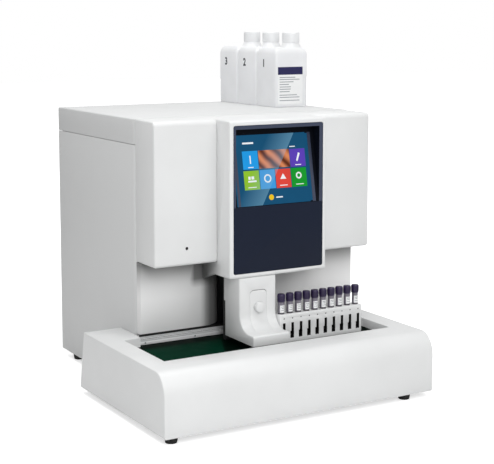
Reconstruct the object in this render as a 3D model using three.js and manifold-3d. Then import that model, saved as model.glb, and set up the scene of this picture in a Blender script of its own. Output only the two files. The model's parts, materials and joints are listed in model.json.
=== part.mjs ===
// Bench-top glycated hemoglobin analyzer: a cabinet with an overhanging head and
// touch display, a sample tray with a ten-place rack, a sampler column with a
// tilt-out door, and three reagent bottles on the roof.
// Millimetres, +Z up, the front faces -Y.
// Every piece is drawn in the tray's own frame: X from the tray's left side, Y
// from the tray's front, Z from the bench. The last lines move the whole group,
// so that the origin lies on the bench under the middle of the footprint.

import * as THREE from 'three';
import { mergeVertices } from 'three/addons/utils/BufferGeometryUtils.js';
import Module from 'manifold-3d';

const wasm = await Module();
wasm.setup();

// Driving dimensions: footprint and levels

const TRAY_WIDTH = 604;
const TRAY_TOP = 130;
const TRAY_FLOOR = 12;
const CASE_LEFT = 83;
const CASE_RIGHT_RIM = 10;
const CASE_REAR = 681;
const CASE_FLOOR = 15;
const CASE_TOP = 562;
const CASE_FRONT = 302;
const WALL_FRONT = 272;
const HEAD_FRONT = 209;
const HEAD_BOTTOM = 277;
const DISPLAY_PROUD = 51;
const DISPLAY_WIDTH = 225;
const DISPLAY_OFFSET = 2.5;
const DISPLAY_BOTTOM = 250;
const PIT_LEFT_RIM = 44;
const PIT_RIGHT_RIM = 46;
const PIT_FRONT_RIM = 87;
const PIT_REAR = 263;
const PIT_DROP = 18;
const COLUMN_WIDTH = 84;
const COLUMN_OFFSET = 49;
const RACK_PITCH = 20;
const RACK_PLACES = 10;
const RACK_FRONT = 145;
const RACK_DEPTH = 24;
const RACK_TOP = 169.5;
const RACK_TRAVEL = 100;
const TUBE_RADIUS = 6.5;
const TUBE_LENGTH = 75;
const BOTTLE_COUNT = 3;
const BOTTLE_WIDTH = 85.5;
const BOTTLE_DEPTH = 84;
const BOTTLE_BODY = 130.7;
const BOTTLE_PITCH = 85;

// Driving dimensions: walls and clearances

const SHEET = 2;
const MOULDING = 3;
const PLATE = 3;
const GAP = 0.3;
const EASY_GAP = 0.5;
const SEAM = 0.8;
const OVERRUN = 10;

// Places that follow from them

const CASE_RIGHT = TRAY_WIDTH - CASE_RIGHT_RIM;
const CASE_CENTRE = (CASE_LEFT + CASE_RIGHT) / 2;
const DISPLAY_CENTRE = CASE_CENTRE - DISPLAY_OFFSET;
const DISPLAY_LEFT = DISPLAY_CENTRE - DISPLAY_WIDTH / 2;
const DISPLAY_RIGHT = DISPLAY_CENTRE + DISPLAY_WIDTH / 2;
const DISPLAY_FRONT = HEAD_FRONT - DISPLAY_PROUD;
const PIT_RIGHT = TRAY_WIDTH - PIT_RIGHT_RIM;
const PLATE_TOP = TRAY_TOP - PIT_DROP;
const COLUMN_CENTRE = DISPLAY_CENTRE - COLUMN_OFFSET;
const COLUMN_LEFT = COLUMN_CENTRE - COLUMN_WIDTH / 2;
const COLUMN_RIGHT = COLUMN_CENTRE + COLUMN_WIDTH / 2;
const PAN_TOP = CASE_FLOOR + SHEET;
const MODULE_FLOOR = PAN_TOP + GAP;
const QUARTER = Math.PI / 2;
const HALF_TURN = Math.PI;
const FULL_TURN = 2 * Math.PI;
const SQUARE_DEG = 90;
const DEGREE = Math.PI / 180;

// Smoothness

const ROUND_SIDES = 20;
const SMALL_SIDES = 10;
const CORNER_STEPS = 3;
const EDGE_STEPS = 2;
const ARC_STEPS = 5;

// Finishes

function finish(color, roughness, metalness = 0) {
  return new THREE.MeshStandardMaterial({ color, roughness, metalness });
}

const shellWhite = finish('#e4e5e4', 0.45);
const sheetGrey = finish('#cfd0d0', 0.5);
const panelNavy = finish('#20253a', 0.3);
const screenBlue = finish('#0f5f86', 0.2);
const rubberBlack = finish('#151515', 0.85);
const plateGreen = finish('#06301f', 0.2);
const anodised = finish('#b9bcbd', 0.35, 0.8);
const steel = finish('#9a9d9f', 0.4, 0.9);
const rackWhite = finish('#eceded', 0.5);
const tubeClear = finish('#c9ced6', 0.15);
const capPurple = finish('#2c1f4a', 0.45);
const bottleWhite = finish('#e6e7e5', 0.4);
const plasticBlack = finish('#1b1c1e', 0.5);
const boardGreen = finish('#1f5a3a', 0.5);
const moduleGrey = finish('#8d9195', 0.4, 0.5);

// From geometry to solids and back

function dropDoubledCorners(index) {
  const kept = [];
  for (let i = 0; i < index.length; i += 3) {
    const [a, b, c] = [index[i], index[i + 1], index[i + 2]];
    if (a !== b && b !== c && c !== a) {
      kept.push(a, b, c);
    }
  }
  return kept;
}

function signedVolume(points, index) {
  const corner = (i) => new THREE.Vector3().fromArray(points, 3 * i);
  let sum = 0;
  for (let i = 0; i < index.length; i += 3) {
    const [a, b, c] = [corner(index[i]), corner(index[i + 1]), corner(index[i + 2])];
    sum += a.dot(b.cross(c));
  }
  return sum;
}

function solidOf(geometry) {
  const bare = geometry.clone();
  bare.deleteAttribute('normal');
  bare.deleteAttribute('uv');
  const merged = mergeVertices(bare);
  const points = Float32Array.from(merged.attributes.position.array);
  const index = dropDoubledCorners(merged.index.array);
  if (signedVolume(points, index) < 0) {
    index.reverse();
  }
  const triVerts = Uint32Array.from(index);
  return new wasm.Manifold(new wasm.Mesh({ numProp: 3, vertProperties: points, triVerts }));
}

function geometryOf(solid) {
  const mesh = solid.getMesh();
  const geometry = new THREE.BufferGeometry();
  geometry.setAttribute('position', new THREE.BufferAttribute(mesh.vertProperties, 3));
  geometry.setIndex(new THREE.BufferAttribute(mesh.triVerts, 1));
  geometry.computeVertexNormals();
  return geometry;
}

const analyzer = new THREE.Group();

function place(name, solid, material) {
  const mesh = new THREE.Mesh(geometryOf(solid), material);
  mesh.name = name;
  analyzer.add(mesh);
}

function joinAll(solids) {
  return solids.reduce((whole, next) => whole.add(next));
}

function cutAll(solid, cutters) {
  return cutters.reduce((left, cutter) => left.subtract(cutter), solid);
}

// Basic forms. Ranges are given as low, high along X, then Y, then Z.

function block(x0, x1, y0, y1, z0, z1) {
  const geometry = new THREE.BoxGeometry(x1 - x0, y1 - y0, z1 - z0);
  geometry.translate((x0 + x1) / 2, (y0 + y1) / 2, (z0 + z1) / 2);
  return solidOf(geometry);
}

function extruded(shape, length, edge) {
  return new THREE.ExtrudeGeometry(shape, {
    depth: length - 2 * edge,
    bevelEnabled: edge > 0,
    bevelThickness: edge,
    bevelSize: edge,
    bevelOffset: -edge,
    bevelSegments: EDGE_STEPS,
    curveSegments: ARC_STEPS,
  });
}

// The outline lies in the YZ plane and runs along X.
function alongX(shape, x0, x1, edge = 0) {
  const geometry = extruded(shape, x1 - x0, edge);
  const turn = new THREE.Matrix4().makeBasis(
    new THREE.Vector3(0, 1, 0),
    new THREE.Vector3(0, 0, 1),
    new THREE.Vector3(1, 0, 0),
  );
  geometry.applyMatrix4(turn);
  geometry.translate(x0 + edge, 0, 0);
  return solidOf(geometry);
}

// The outline lies in the XZ plane and runs along Y.
function alongY(shape, y0, y1, edge = 0) {
  const geometry = extruded(shape, y1 - y0, edge);
  geometry.rotateX(QUARTER);
  geometry.translate(0, y1 - edge, 0);
  return solidOf(geometry);
}

// The outline lies in the XY plane and runs along Z.
function alongZ(shape, z0, z1, edge = 0) {
  const geometry = extruded(shape, z1 - z0, edge);
  geometry.translate(0, 0, z0 + edge);
  return solidOf(geometry);
}

function outline(points) {
  return new THREE.Shape(points.map(([u, v]) => new THREE.Vector2(u, v)));
}

function roundedRectangle(u0, u1, v0, v1, radius) {
  const shape = new THREE.Shape();
  shape.absarc(u1 - radius, v1 - radius, radius, 0, QUARTER);
  shape.absarc(u0 + radius, v1 - radius, radius, QUARTER, HALF_TURN);
  shape.absarc(u0 + radius, v0 + radius, radius, HALF_TURN, HALF_TURN + QUARTER);
  shape.absarc(u1 - radius, v0 + radius, radius, HALF_TURN + QUARTER, FULL_TURN);
  return shape;
}

// A profile of [radius, height] points turned about the Z axis.
function turned(profile, sides) {
  const geometry = new THREE.LatheGeometry(profile.map(([r, z]) => new THREE.Vector2(r, z)), sides);
  geometry.rotateX(QUARTER);
  return solidOf(geometry);
}

function disc(radius, z0, z1, sides = ROUND_SIDES) {
  return turned([[0, z0], [radius, z0], [radius, z1], [0, z1]], sides);
}

// A round bar along Y, centred on x, z.
function barY(x, z, radius, y0, y1, sides = SMALL_SIDES) {
  return disc(radius, -y1, -y0, sides).rotate([SQUARE_DEG, 0, 0]).translate([x, 0, z]);
}

// A round bar along X, centred on y, z.
function barX(y, z, radius, x0, x1, sides = SMALL_SIDES) {
  return disc(radius, x0, x1, sides).rotate([0, SQUARE_DEG, 0]).translate([0, y, z]);
}

// Rings of equal count, joined side to side and closed at both ends.
function lofted(rings) {
  const count = rings[0].length;
  const points = rings.flat().flatMap((p) => [p.x, p.y, p.z]);
  const index = [];
  for (let ring = 0; ring + 1 < rings.length; ring += 1) {
    for (let i = 0; i < count; i += 1) {
      const a = ring * count + i;
      const b = ring * count + ((i + 1) % count);
      index.push(a, b, b + count, a, b + count, a + count);
    }
  }
  const last = (rings.length - 1) * count;
  for (let i = 1; i + 1 < count; i += 1) {
    index.push(0, i + 1, i, last, last + i, last + i + 1);
  }
  const geometry = new THREE.BufferGeometry();
  geometry.setAttribute('position', new THREE.Float32BufferAttribute(points, 3));
  geometry.setIndex(index);
  return solidOf(geometry);
}

// Points round a rectangle with round corners, from the far right corner on.
function cornerPoints(u0, u1, v0, v1, radius) {
  const centres = [[u1 - radius, v1 - radius], [u0 + radius, v1 - radius],
    [u0 + radius, v0 + radius], [u1 - radius, v0 + radius]];
  return centres.flatMap(([u, v], quarter) => {
    const steps = Array.from({ length: CORNER_STEPS + 1 }, (_, step) => step / CORNER_STEPS);
    return steps.map((share) => {
      const angle = QUARTER * (quarter + share);
      return [u + radius * Math.cos(angle), v + radius * Math.sin(angle)];
    });
  });
}

// Sample tray: one moulding with a rolled front, two side wings and the pit

const TRAY_WALL = 3.5;
const TRAY_ROLL_DEPTH = 36;
const TRAY_ROLL_DROP = 46;
const TRAY_EDGE = 2.5;
const WING_REAR = 361;
const WING_LEAN = 22;
const PIT_NOTCH_RIM = 3;
const LEDGE_WIDTH = 6;
const LEDGE_THICKNESS = 3;
const RAIL_THICKNESS = 3.7;

const TRAY_WEB_FRONT = WALL_FRONT + RAIL_THICKNESS + 2 * GAP;
const TRAY_WEB_REAR = TRAY_WEB_FRONT + TRAY_WALL;
const LEDGE_TOP = PLATE_TOP - PLATE - GAP;
const PIT_NOTCH = CASE_LEFT - PIT_NOTCH_RIM;

function trayProfile(inset, bottom) {
  const shape = new THREE.Shape();
  const top = TRAY_TOP - inset;
  const lean = WING_LEAN * ((TRAY_TOP - bottom) / (TRAY_TOP - TRAY_FLOOR));
  shape.moveTo(inset, bottom);
  shape.lineTo(inset, TRAY_TOP - TRAY_ROLL_DROP);
  shape.absellipse(TRAY_ROLL_DEPTH, TRAY_TOP - TRAY_ROLL_DROP, TRAY_ROLL_DEPTH - inset,
    TRAY_ROLL_DROP - inset, HALF_TURN, QUARTER, true);
  shape.lineTo(WING_REAR - inset, top);
  shape.lineTo(WING_REAR - inset + lean, bottom);
  return shape;
}

// The pit runs back to the cabinet, past a short rear wall at its left end.
function pitOutline(inset) {
  const left = PIT_LEFT_RIM + inset;
  const right = PIT_RIGHT - inset;
  const front = PIT_FRONT_RIM + inset;
  const notch = PIT_NOTCH + inset;
  const rear = TRAY_WEB_FRONT - inset;
  const shortRear = PIT_REAR - inset;
  return outline([[left, front], [right, front], [right, rear], [notch, rear],
    [notch, shortRear], [left, shortRear]]);
}

function trayHousing() {
  const low = TRAY_FLOOR - OVERRUN;
  const high = TRAY_TOP + OVERRUN;
  const wingEnd = WING_REAR + WING_LEAN;
  const outer = alongX(trayProfile(0, TRAY_FLOOR), 0, TRAY_WIDTH, TRAY_EDGE);
  const hollow = alongX(trayProfile(TRAY_WALL, low), TRAY_WALL, TRAY_WIDTH - TRAY_WALL);
  const tub = block(PIT_LEFT_RIM - TRAY_WALL, PIT_RIGHT + TRAY_WALL, PIT_FRONT_RIM - TRAY_WALL,
    TRAY_WEB_REAR, LEDGE_TOP - LEDGE_THICKNESS, high);
  const cabinetWall = block(CASE_LEFT - GAP - TRAY_WALL, CASE_RIGHT + GAP + TRAY_WALL,
    TRAY_WEB_FRONT, wingEnd, PAN_TOP + GAP, high);
  const shell = outer.subtract(cutAll(hollow, [tub, cabinetWall]));
  const pit = alongZ(pitOutline(0), LEDGE_TOP, high);
  const floorHole = block(PIT_LEFT_RIM + LEDGE_WIDTH, PIT_RIGHT - LEDGE_WIDTH,
    PIT_FRONT_RIM + LEDGE_WIDTH, PIT_REAR - LEDGE_WIDTH, low, high);
  const cabinet = block(CASE_LEFT - GAP, CASE_RIGHT + GAP, TRAY_WEB_REAR, wingEnd + OVERRUN, low, high);
  return cutAll(shell, [pit, floorHole, cabinet]);
}

place('tray_housing', trayHousing(), shellWhite);
place('transport_plate', alongZ(pitOutline(GAP), LEDGE_TOP + GAP, PLATE_TOP), plateGreen);

// Grooved guide rail along the back of the pit

const RAIL_TOP = 131.5;
const GROOVE_DEPTH = 1.2;
const GROOVE_HEIGHT = 2;
const GROOVE_SHARES = [0.36, 0.68];

function transportRail() {
  const front = WALL_FRONT + GAP;
  const bottom = PLATE_TOP + GAP;
  const bar = block(PIT_NOTCH + GAP, PIT_RIGHT - GAP, front, front + RAIL_THICKNESS, bottom, RAIL_TOP);
  const grooves = GROOVE_SHARES.map((share) => {
    const middle = bottom + (RAIL_TOP - bottom) * share;
    return block(PIT_NOTCH, PIT_RIGHT, front - OVERRUN, front + GROOVE_DEPTH,
      middle - GROOVE_HEIGHT / 2, middle + GROOVE_HEIGHT / 2);
  });
  return cutAll(bar, grooves);
}

place('transport_rail', transportRail(), anodised);

// Base pan: one flat plate under the tray and the cabinet

const REAR_INSET = 18;

const REAR_FACE = CASE_REAR - REAR_INSET;
const INNER_LEFT = CASE_LEFT + SHEET + GAP;
const INNER_RIGHT = CASE_RIGHT - SHEET - GAP;

function basePan() {
  const left = TRAY_WALL + EASY_GAP;
  const right = TRAY_WIDTH - TRAY_WALL - EASY_GAP;
  const shape = outline([[left, left], [right, left], [right, WALL_FRONT], [INNER_RIGHT, WALL_FRONT],
    [INNER_RIGHT, REAR_FACE], [INNER_LEFT, REAR_FACE], [INNER_LEFT, WALL_FRONT], [left, WALL_FRONT]]);
  return alongZ(shape, CASE_FLOOR, PAN_TOP);
}

place('base_pan', basePan(), steel);

// Feet

const FOOT_TOP_RADIUS = 13;
const FOOT_TOE_RADIUS = 11;
const FOOT_LIP = 3;
const FRONT_FOOT_INSET = 18;
const FRONT_FOOT_LEFT = 22;
const FRONT_FOOT_RIGHT = 59;
const REAR_FOOT_INSET = 54;
const REAR_FOOT_SIDE = 18;

function foot(x, y) {
  const top = CASE_FLOOR - GAP;
  const profile = [[0, 0], [FOOT_TOE_RADIUS, 0], [FOOT_TOP_RADIUS, top - FOOT_LIP],
    [FOOT_TOP_RADIUS, top], [0, top]];
  return turned(profile, ROUND_SIDES).translate([x, y, 0]);
}

place('foot_front_left', foot(FRONT_FOOT_LEFT, FRONT_FOOT_INSET), rubberBlack);
place('foot_front_right', foot(TRAY_WIDTH - FRONT_FOOT_RIGHT, FRONT_FOOT_INSET), rubberBlack);
place('foot_rear_left', foot(CASE_LEFT + REAR_FOOT_SIDE, CASE_REAR - REAR_FOOT_INSET), rubberBlack);
place('foot_rear_right', foot(CASE_RIGHT - REAR_FOOT_SIDE, CASE_REAR - REAR_FOOT_INSET), rubberBlack);

// Cabinet casing: one folded form, slanted inwards along its front edge and
// flanged all round at both ends, cut at the seam into a top cover and two sides

const SEAM_BELOW_TOP = 51;
const SLANT_DEPTH = 11;
const SLANT_STEP = 3;
const CASE_FOLD_RADIUS = 3;
const FLANGE_WIDTH = 12;

const SLANT_FRONT = CASE_FRONT - SLANT_DEPTH;
const HEAD_REAR = SLANT_FRONT - GAP;
const SEAM_LEVEL = CASE_TOP - SEAM_BELOW_TOP;
const CASE_LOW = CASE_FLOOR - OVERRUN;

// An arch-shaped section of the casing at a station along Y.
function caseRing(y, wall) {
  const step = SLANT_STEP * Math.max(0, (CASE_FRONT - y) / SLANT_DEPTH);
  const left = CASE_LEFT + step + wall;
  const right = CASE_RIGHT - step - wall;
  const corners = cornerPoints(left, right, CASE_LOW, CASE_TOP - wall, CASE_FOLD_RADIUS - wall);
  const arch = corners.slice(0, corners.length / 2);
  return [...arch, [left, CASE_LOW], [right, CASE_LOW]].map(([x, z]) => new THREE.Vector3(x, y, z));
}

function casing() {
  const frontFold = SLANT_FRONT + SHEET;
  const rearFold = REAR_FACE + GAP;
  const end = CASE_REAR + OVERRUN;
  const outer = lofted([caseRing(SLANT_FRONT, 0), caseRing(CASE_FRONT, 0), caseRing(CASE_REAR, 0)]);
  const inner = lofted([caseRing(frontFold, SHEET), caseRing(CASE_FRONT, SHEET), caseRing(rearFold, SHEET)]);
  const shroud = lofted([caseRing(rearFold + SHEET, SHEET), caseRing(end, SHEET)]);
  const flange = SLANT_STEP + FLANGE_WIDTH;
  const mouth = block(CASE_LEFT + flange, CASE_RIGHT - flange, 0, end, 0, CASE_TOP - flange);
  const bench = block(0, TRAY_WIDTH, 0, end, 0, CASE_FLOOR);
  const panSlot = block(CASE_LEFT + SHEET, CASE_RIGHT - SHEET, 0, end, 0, MODULE_FLOOR);
  return cutAll(outer, [inner, shroud, mouth, bench, panSlot]);
}

function cabinetPanels() {
  const whole = casing();
  const end = CASE_REAR + OVERRUN;
  const above = block(0, TRAY_WIDTH, 0, end, SEAM_LEVEL + SEAM / 2, CASE_TOP + OVERRUN);
  const leftBelow = block(0, CASE_CENTRE, 0, end, 0, SEAM_LEVEL - SEAM / 2);
  const rightBelow = block(CASE_CENTRE, TRAY_WIDTH, 0, end, 0, SEAM_LEVEL - SEAM / 2);
  place('top_cover', whole.intersect(above), sheetGrey);
  place('left_side_panel', whole.intersect(leftBelow), sheetGrey);
  place('right_side_panel', whole.intersect(rightBelow), sheetGrey);
}

cabinetPanels();

// Head moulding: hollow, open at the back, cut away where the display plugs in

const HEAD_DROP = 0.5;
const HEAD_FALL = 1;
const HEAD_TOP_RADIUS = 10;
const HEAD_BOTTOM_RADIUS = 6;
const HEAD_EDGE = 4;
const DISPLAY_PLUG = 12.7;

const HEAD_LEFT = CASE_LEFT + SLANT_STEP;
const HEAD_RIGHT = CASE_RIGHT - SLANT_STEP;
const DISPLAY_REAR = HEAD_FRONT + DISPLAY_PLUG;

function headTop(y) {
  const fall = HEAD_FALL * ((HEAD_REAR - y) / (HEAD_REAR - DISPLAY_FRONT));
  return CASE_TOP - HEAD_DROP - fall;
}

function headProfile(inset, rear) {
  const shape = new THREE.Shape();
  const front = HEAD_FRONT + inset;
  const bottom = HEAD_BOTTOM + inset;
  const low = HEAD_BOTTOM_RADIUS - inset;
  const high = HEAD_TOP_RADIUS - inset;
  const shoulder = headTop(front + high) - inset;
  shape.moveTo(rear, bottom);
  shape.lineTo(front + low, bottom);
  shape.absarc(front + low, bottom + low, low, HALF_TURN + QUARTER, HALF_TURN, true);
  shape.absarc(front + high, shoulder - high, high, HALF_TURN, QUARTER, true);
  shape.lineTo(rear, headTop(rear) - inset);
  return shape;
}

function headCover() {
  const rear = HEAD_REAR + OVERRUN;
  const outer = alongX(headProfile(0, rear), HEAD_LEFT, HEAD_RIGHT, HEAD_EDGE);
  const hollow = alongX(headProfile(MOULDING, rear), HEAD_LEFT + MOULDING, HEAD_RIGHT - MOULDING);
  const behind = block(0, TRAY_WIDTH, HEAD_REAR, CASE_REAR, 0, CASE_TOP);
  const displaySlot = block(DISPLAY_LEFT - GAP, DISPLAY_RIGHT + GAP, DISPLAY_FRONT, DISPLAY_REAR + GAP,
    DISPLAY_BOTTOM, CASE_TOP);
  return cutAll(outer, [hollow, behind, displaySlot]);
}

place('head_cover', headCover(), shellWhite);

// Display housing, its dark front panel and the screen behind the window

const DISPLAY_TOP_RADIUS = 5;
const DISPLAY_BOTTOM_RADIUS = 6;
const DISPLAY_HEEL_RADIUS = 14;
const DISPLAY_HEEL = 212;
const DISPLAY_EDGE = 4;
const DISPLAY_WALL = 7;
const PANEL_MARGIN = 8.7;
const PANEL_RISE = 9;
const PANEL_FALL = 9.5;
const PANEL_CORNER = 4;
const PANEL_RECESS = 3.7;
const PANEL_THICKNESS = 3.2;
const WINDOW_LEFT_MARGIN = 5.5;
const WINDOW_RIGHT_MARGIN = 8.8;
const WINDOW_TOP_MARGIN = 7.5;
const WINDOW_HEIGHT = 152.5;
const WINDOW_DEPTH = 0.8;
const SCREEN_LEAN = 10.5;
const TUB_WALL = 2;
const TUB_FLOOR = 3;
const CHEEK_THICKNESS = 8;
const CHEEK_FRONT = 190;
const CHEEK_BREAK = 222.5;
const CHEEK_DROP = 17;
const CHEEK_EDGE = 3.5;
const SCREEN_SILL = 1;
const SCREEN_RIGHT_MARGIN = 27.6;
const SCREEN_LEFT_MARGIN = 10;
const SCREEN_TOP_MARGIN = 19;
const SCREEN_THICKNESS = 1;

const PANEL_LEFT = DISPLAY_LEFT + PANEL_MARGIN;
const PANEL_RIGHT = DISPLAY_RIGHT - PANEL_MARGIN;
const PANEL_BOTTOM = DISPLAY_BOTTOM + PANEL_RISE;
const PANEL_TOP = headTop(DISPLAY_FRONT) - PANEL_FALL;
const PANEL_FRONT = DISPLAY_FRONT + PANEL_RECESS - GAP - PANEL_THICKNESS;
const SCREEN_FRONT = PANEL_FRONT + WINDOW_DEPTH + GAP;
const WINDOW_LEFT = PANEL_LEFT + WINDOW_LEFT_MARGIN;
const WINDOW_RIGHT = PANEL_RIGHT - WINDOW_RIGHT_MARGIN;
const WINDOW_TOP = PANEL_TOP - WINDOW_TOP_MARGIN;
const WINDOW_BOTTOM = WINDOW_TOP - WINDOW_HEIGHT;
const WINDOW_FLOOR = PANEL_FRONT + WINDOW_DEPTH;
const WINDOW_FLOOR_TOP = WINDOW_FLOOR + WINDOW_HEIGHT * Math.tan(SCREEN_LEAN * DEGREE);

function displayProfile(inset, front, rear) {
  const shape = new THREE.Shape();
  const bottom = DISPLAY_BOTTOM + inset;
  const low = DISPLAY_BOTTOM_RADIUS - inset;
  const high = DISPLAY_TOP_RADIUS - inset;
  const heelRadius = DISPLAY_HEEL_RADIUS - inset;
  const heel = DISPLAY_HEEL - inset;
  const step = HEAD_BOTTOM + inset;
  const shoulder = headTop(front + high) - inset;
  shape.moveTo(rear, step);
  shape.lineTo(heel, step);
  shape.absarc(heel - heelRadius, bottom + heelRadius, heelRadius, 0, -QUARTER, true);
  shape.absarc(front + low, bottom + low, low, HALF_TURN + QUARTER, HALF_TURN, true);
  shape.absarc(front + high, shoulder - high, high, HALF_TURN, QUARTER, true);
  shape.lineTo(rear, headTop(rear) - inset);
  return shape;
}

// A side plate that closes the room under the head, from the housing to the lower front panel.
function cheek(left, drop) {
  const top = HEAD_BOTTOM - GAP;
  const back = WALL_FRONT - GAP;
  const shape = outline([[CHEEK_FRONT, top], [back, top], [back, DISPLAY_BOTTOM - drop],
    [CHEEK_BREAK, DISPLAY_BOTTOM], [CHEEK_FRONT, DISPLAY_BOTTOM]]);
  return alongX(shape, left, left + CHEEK_THICKNESS, CHEEK_EDGE);
}

function displayHousing() {
  const rear = DISPLAY_REAR + OVERRUN;
  const outer = alongX(displayProfile(0, DISPLAY_FRONT, rear), DISPLAY_LEFT, DISPLAY_RIGHT, DISPLAY_EDGE);
  const hollow = alongX(displayProfile(MOULDING, DISPLAY_FRONT + DISPLAY_WALL, rear),
    DISPLAY_LEFT + MOULDING, DISPLAY_RIGHT - MOULDING);
  const behind = block(0, TRAY_WIDTH, DISPLAY_REAR, CASE_REAR, 0, CASE_TOP);
  const recess = alongY(
    roundedRectangle(PANEL_LEFT - GAP, PANEL_RIGHT + GAP, PANEL_BOTTOM - GAP, PANEL_TOP + GAP,
      PANEL_CORNER + GAP),
    DISPLAY_FRONT - OVERRUN,
    DISPLAY_FRONT + PANEL_RECESS,
  );
  const room = TUB_WALL + GAP;
  const tubRoom = block(WINDOW_LEFT - room, WINDOW_RIGHT + room, DISPLAY_FRONT,
    DISPLAY_FRONT + DISPLAY_WALL + OVERRUN, WINDOW_BOTTOM - room, WINDOW_TOP + room);
  const shell = cutAll(outer, [hollow, behind, recess, tubRoom]);
  return joinAll([shell, cheek(DISPLAY_LEFT, CHEEK_DROP), cheek(DISPLAY_RIGHT - CHEEK_THICKNESS, 0)]);
}

// Leans back about the lower edge of the window.
function leaned(solid) {
  return solid.translate([0, -WINDOW_FLOOR, -WINDOW_BOTTOM]).rotate([-SCREEN_LEAN, 0, 0])
    .translate([0, WINDOW_FLOOR, WINDOW_BOTTOM]);
}

function screenOutline(margin) {
  const left = PANEL_LEFT + SCREEN_LEFT_MARGIN - margin;
  const right = PANEL_RIGHT - SCREEN_RIGHT_MARGIN + margin;
  const top = PANEL_TOP - SCREEN_TOP_MARGIN + margin;
  const bottom = WINDOW_BOTTOM + SCREEN_SILL - margin;
  return outline([[left, bottom], [right, bottom], [right, top], [left, top]]);
}

function displayPanel() {
  const plate = alongY(
    roundedRectangle(PANEL_LEFT, PANEL_RIGHT, PANEL_BOTTOM, PANEL_TOP, PANEL_CORNER),
    PANEL_FRONT,
    PANEL_FRONT + PANEL_THICKNESS,
  );
  const within = outline([[PANEL_FRONT - OVERRUN, WINDOW_BOTTOM], [WINDOW_FLOOR, WINDOW_BOTTOM],
    [WINDOW_FLOOR_TOP, WINDOW_TOP], [PANEL_FRONT - OVERRUN, WINDOW_TOP]]);
  const around = outline([[WINDOW_FLOOR, WINDOW_BOTTOM - TUB_WALL],
    [WINDOW_FLOOR + TUB_FLOOR, WINDOW_BOTTOM - TUB_WALL], [WINDOW_FLOOR_TOP + TUB_FLOOR, WINDOW_TOP + TUB_WALL],
    [WINDOW_FLOOR, WINDOW_TOP + TUB_WALL]]);
  const tub = alongX(around, WINDOW_LEFT - TUB_WALL, WINDOW_RIGHT + TUB_WALL);
  const recess = alongX(within, WINDOW_LEFT, WINDOW_RIGHT);
  const seat = leaned(alongY(screenOutline(GAP), PANEL_FRONT, SCREEN_FRONT + SCREEN_THICKNESS + GAP));
  return cutAll(joinAll([plate, tub]), [recess, seat]);
}

function lcdScreen() {
  return leaned(alongY(screenOutline(0), SCREEN_FRONT, SCREEN_FRONT + SCREEN_THICKNESS));
}

place('display_housing', displayHousing(), shellWhite);
place('display_panel', displayPanel(), panelNavy);
place('lcd_screen', lcdScreen(), screenBlue);

// Lower front panel: a channel with a bay whose sides curl back into the cabinet

const LOWER_PANEL_BOTTOM = 132.5;
const BAY_HALF_WIDTH = 61;
const BAY_RADIUS = 30;
const BAY_TOP = 262;

// One half of the channel, from its side return to the end of the curl, in plan.
// The bay's edge lies at zero and the length runs to the left of it.
function channelHalf(length) {
  const shape = new THREE.Shape();
  const back = WALL_FRONT + MOULDING;
  const curl = WALL_FRONT + BAY_RADIUS;
  shape.moveTo(-length, HEAD_REAR);
  shape.lineTo(-length, WALL_FRONT);
  shape.absarc(0, curl, BAY_RADIUS, -QUARTER, 0);
  shape.absarc(0, curl, BAY_RADIUS - MOULDING, 0, -QUARTER, true);
  shape.lineTo(-length + MOULDING, back);
  shape.lineTo(-length + MOULDING, HEAD_REAR);
  return shape;
}

function lowerFrontPanel() {
  const top = HEAD_BOTTOM - GAP;
  const bayLeft = COLUMN_CENTRE - BAY_HALF_WIDTH;
  const bayRight = COLUMN_CENTRE + BAY_HALF_WIDTH;
  const left = alongZ(channelHalf(bayLeft - HEAD_LEFT), LOWER_PANEL_BOTTOM, top);
  const right = alongZ(channelHalf(HEAD_RIGHT - bayRight), LOWER_PANEL_BOTTOM, top);
  const lintel = block(bayLeft, bayRight, WALL_FRONT, WALL_FRONT + MOULDING, BAY_TOP, top);
  return joinAll([
    left.translate([bayLeft, 0, 0]),
    right.mirror([1, 0, 0]).translate([bayRight, 0, 0]),
    lintel,
  ]);
}

place('lower_front_panel', lowerFrontPanel(), shellWhite);

// Sampler column: a moulding that flares forward into a low foot, open at the back

const COLUMN_REAR = 222;
const COLUMN_REAR_STEP = 5;
const COLUMN_STEP_LEVEL = 195;
const COLUMN_FOOT_FRONT = 104;
const COLUMN_EDGE = 3;
const COLUMN_LIFT = 13.5;
const SHELF_TOP = 146;
const SHELF_RADIUS = 4;
const FLARE_RADIUS = 34;

const COLUMN_TOP = DISPLAY_BOTTOM - GAP;
const COLUMN_BOTTOM = PLATE_TOP + COLUMN_LIFT;
const FLARE_Y = DISPLAY_FRONT - FLARE_RADIUS;
const FLARE_Z = SHELF_TOP + FLARE_RADIUS;

// Drawn from the foot up the front and back down the rear, with a step if asked.
function columnProfile(inset, low, high, rear, rearStep = 0) {
  const shape = new THREE.Shape();
  const toe = COLUMN_FOOT_FRONT + SHELF_RADIUS;
  shape.moveTo(rear - rearStep, low);
  shape.lineTo(COLUMN_FOOT_FRONT + inset, low);
  shape.absarc(toe, SHELF_TOP - SHELF_RADIUS, SHELF_RADIUS - inset, HALF_TURN, QUARTER, true);
  shape.absarc(FLARE_Y, FLARE_Z, FLARE_RADIUS + inset, -QUARTER, 0);
  shape.lineTo(DISPLAY_FRONT + inset, high);
  shape.lineTo(rear, high);
  if (rearStep > 0) {
    shape.lineTo(rear, COLUMN_STEP_LEVEL);
    shape.lineTo(rear - rearStep, COLUMN_STEP_LEVEL);
  }
  return shape;
}

function columnHollow(x0, x1) {
  const low = COLUMN_BOTTOM - OVERRUN;
  return alongX(columnProfile(MOULDING, low, COLUMN_TOP - MOULDING, COLUMN_REAR + OVERRUN), x0, x1);
}

// Tilt-out door for a single urgent sample: it lies in the column's front, turns
// on a barrel under the flare and carries a cradle for the tube

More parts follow.
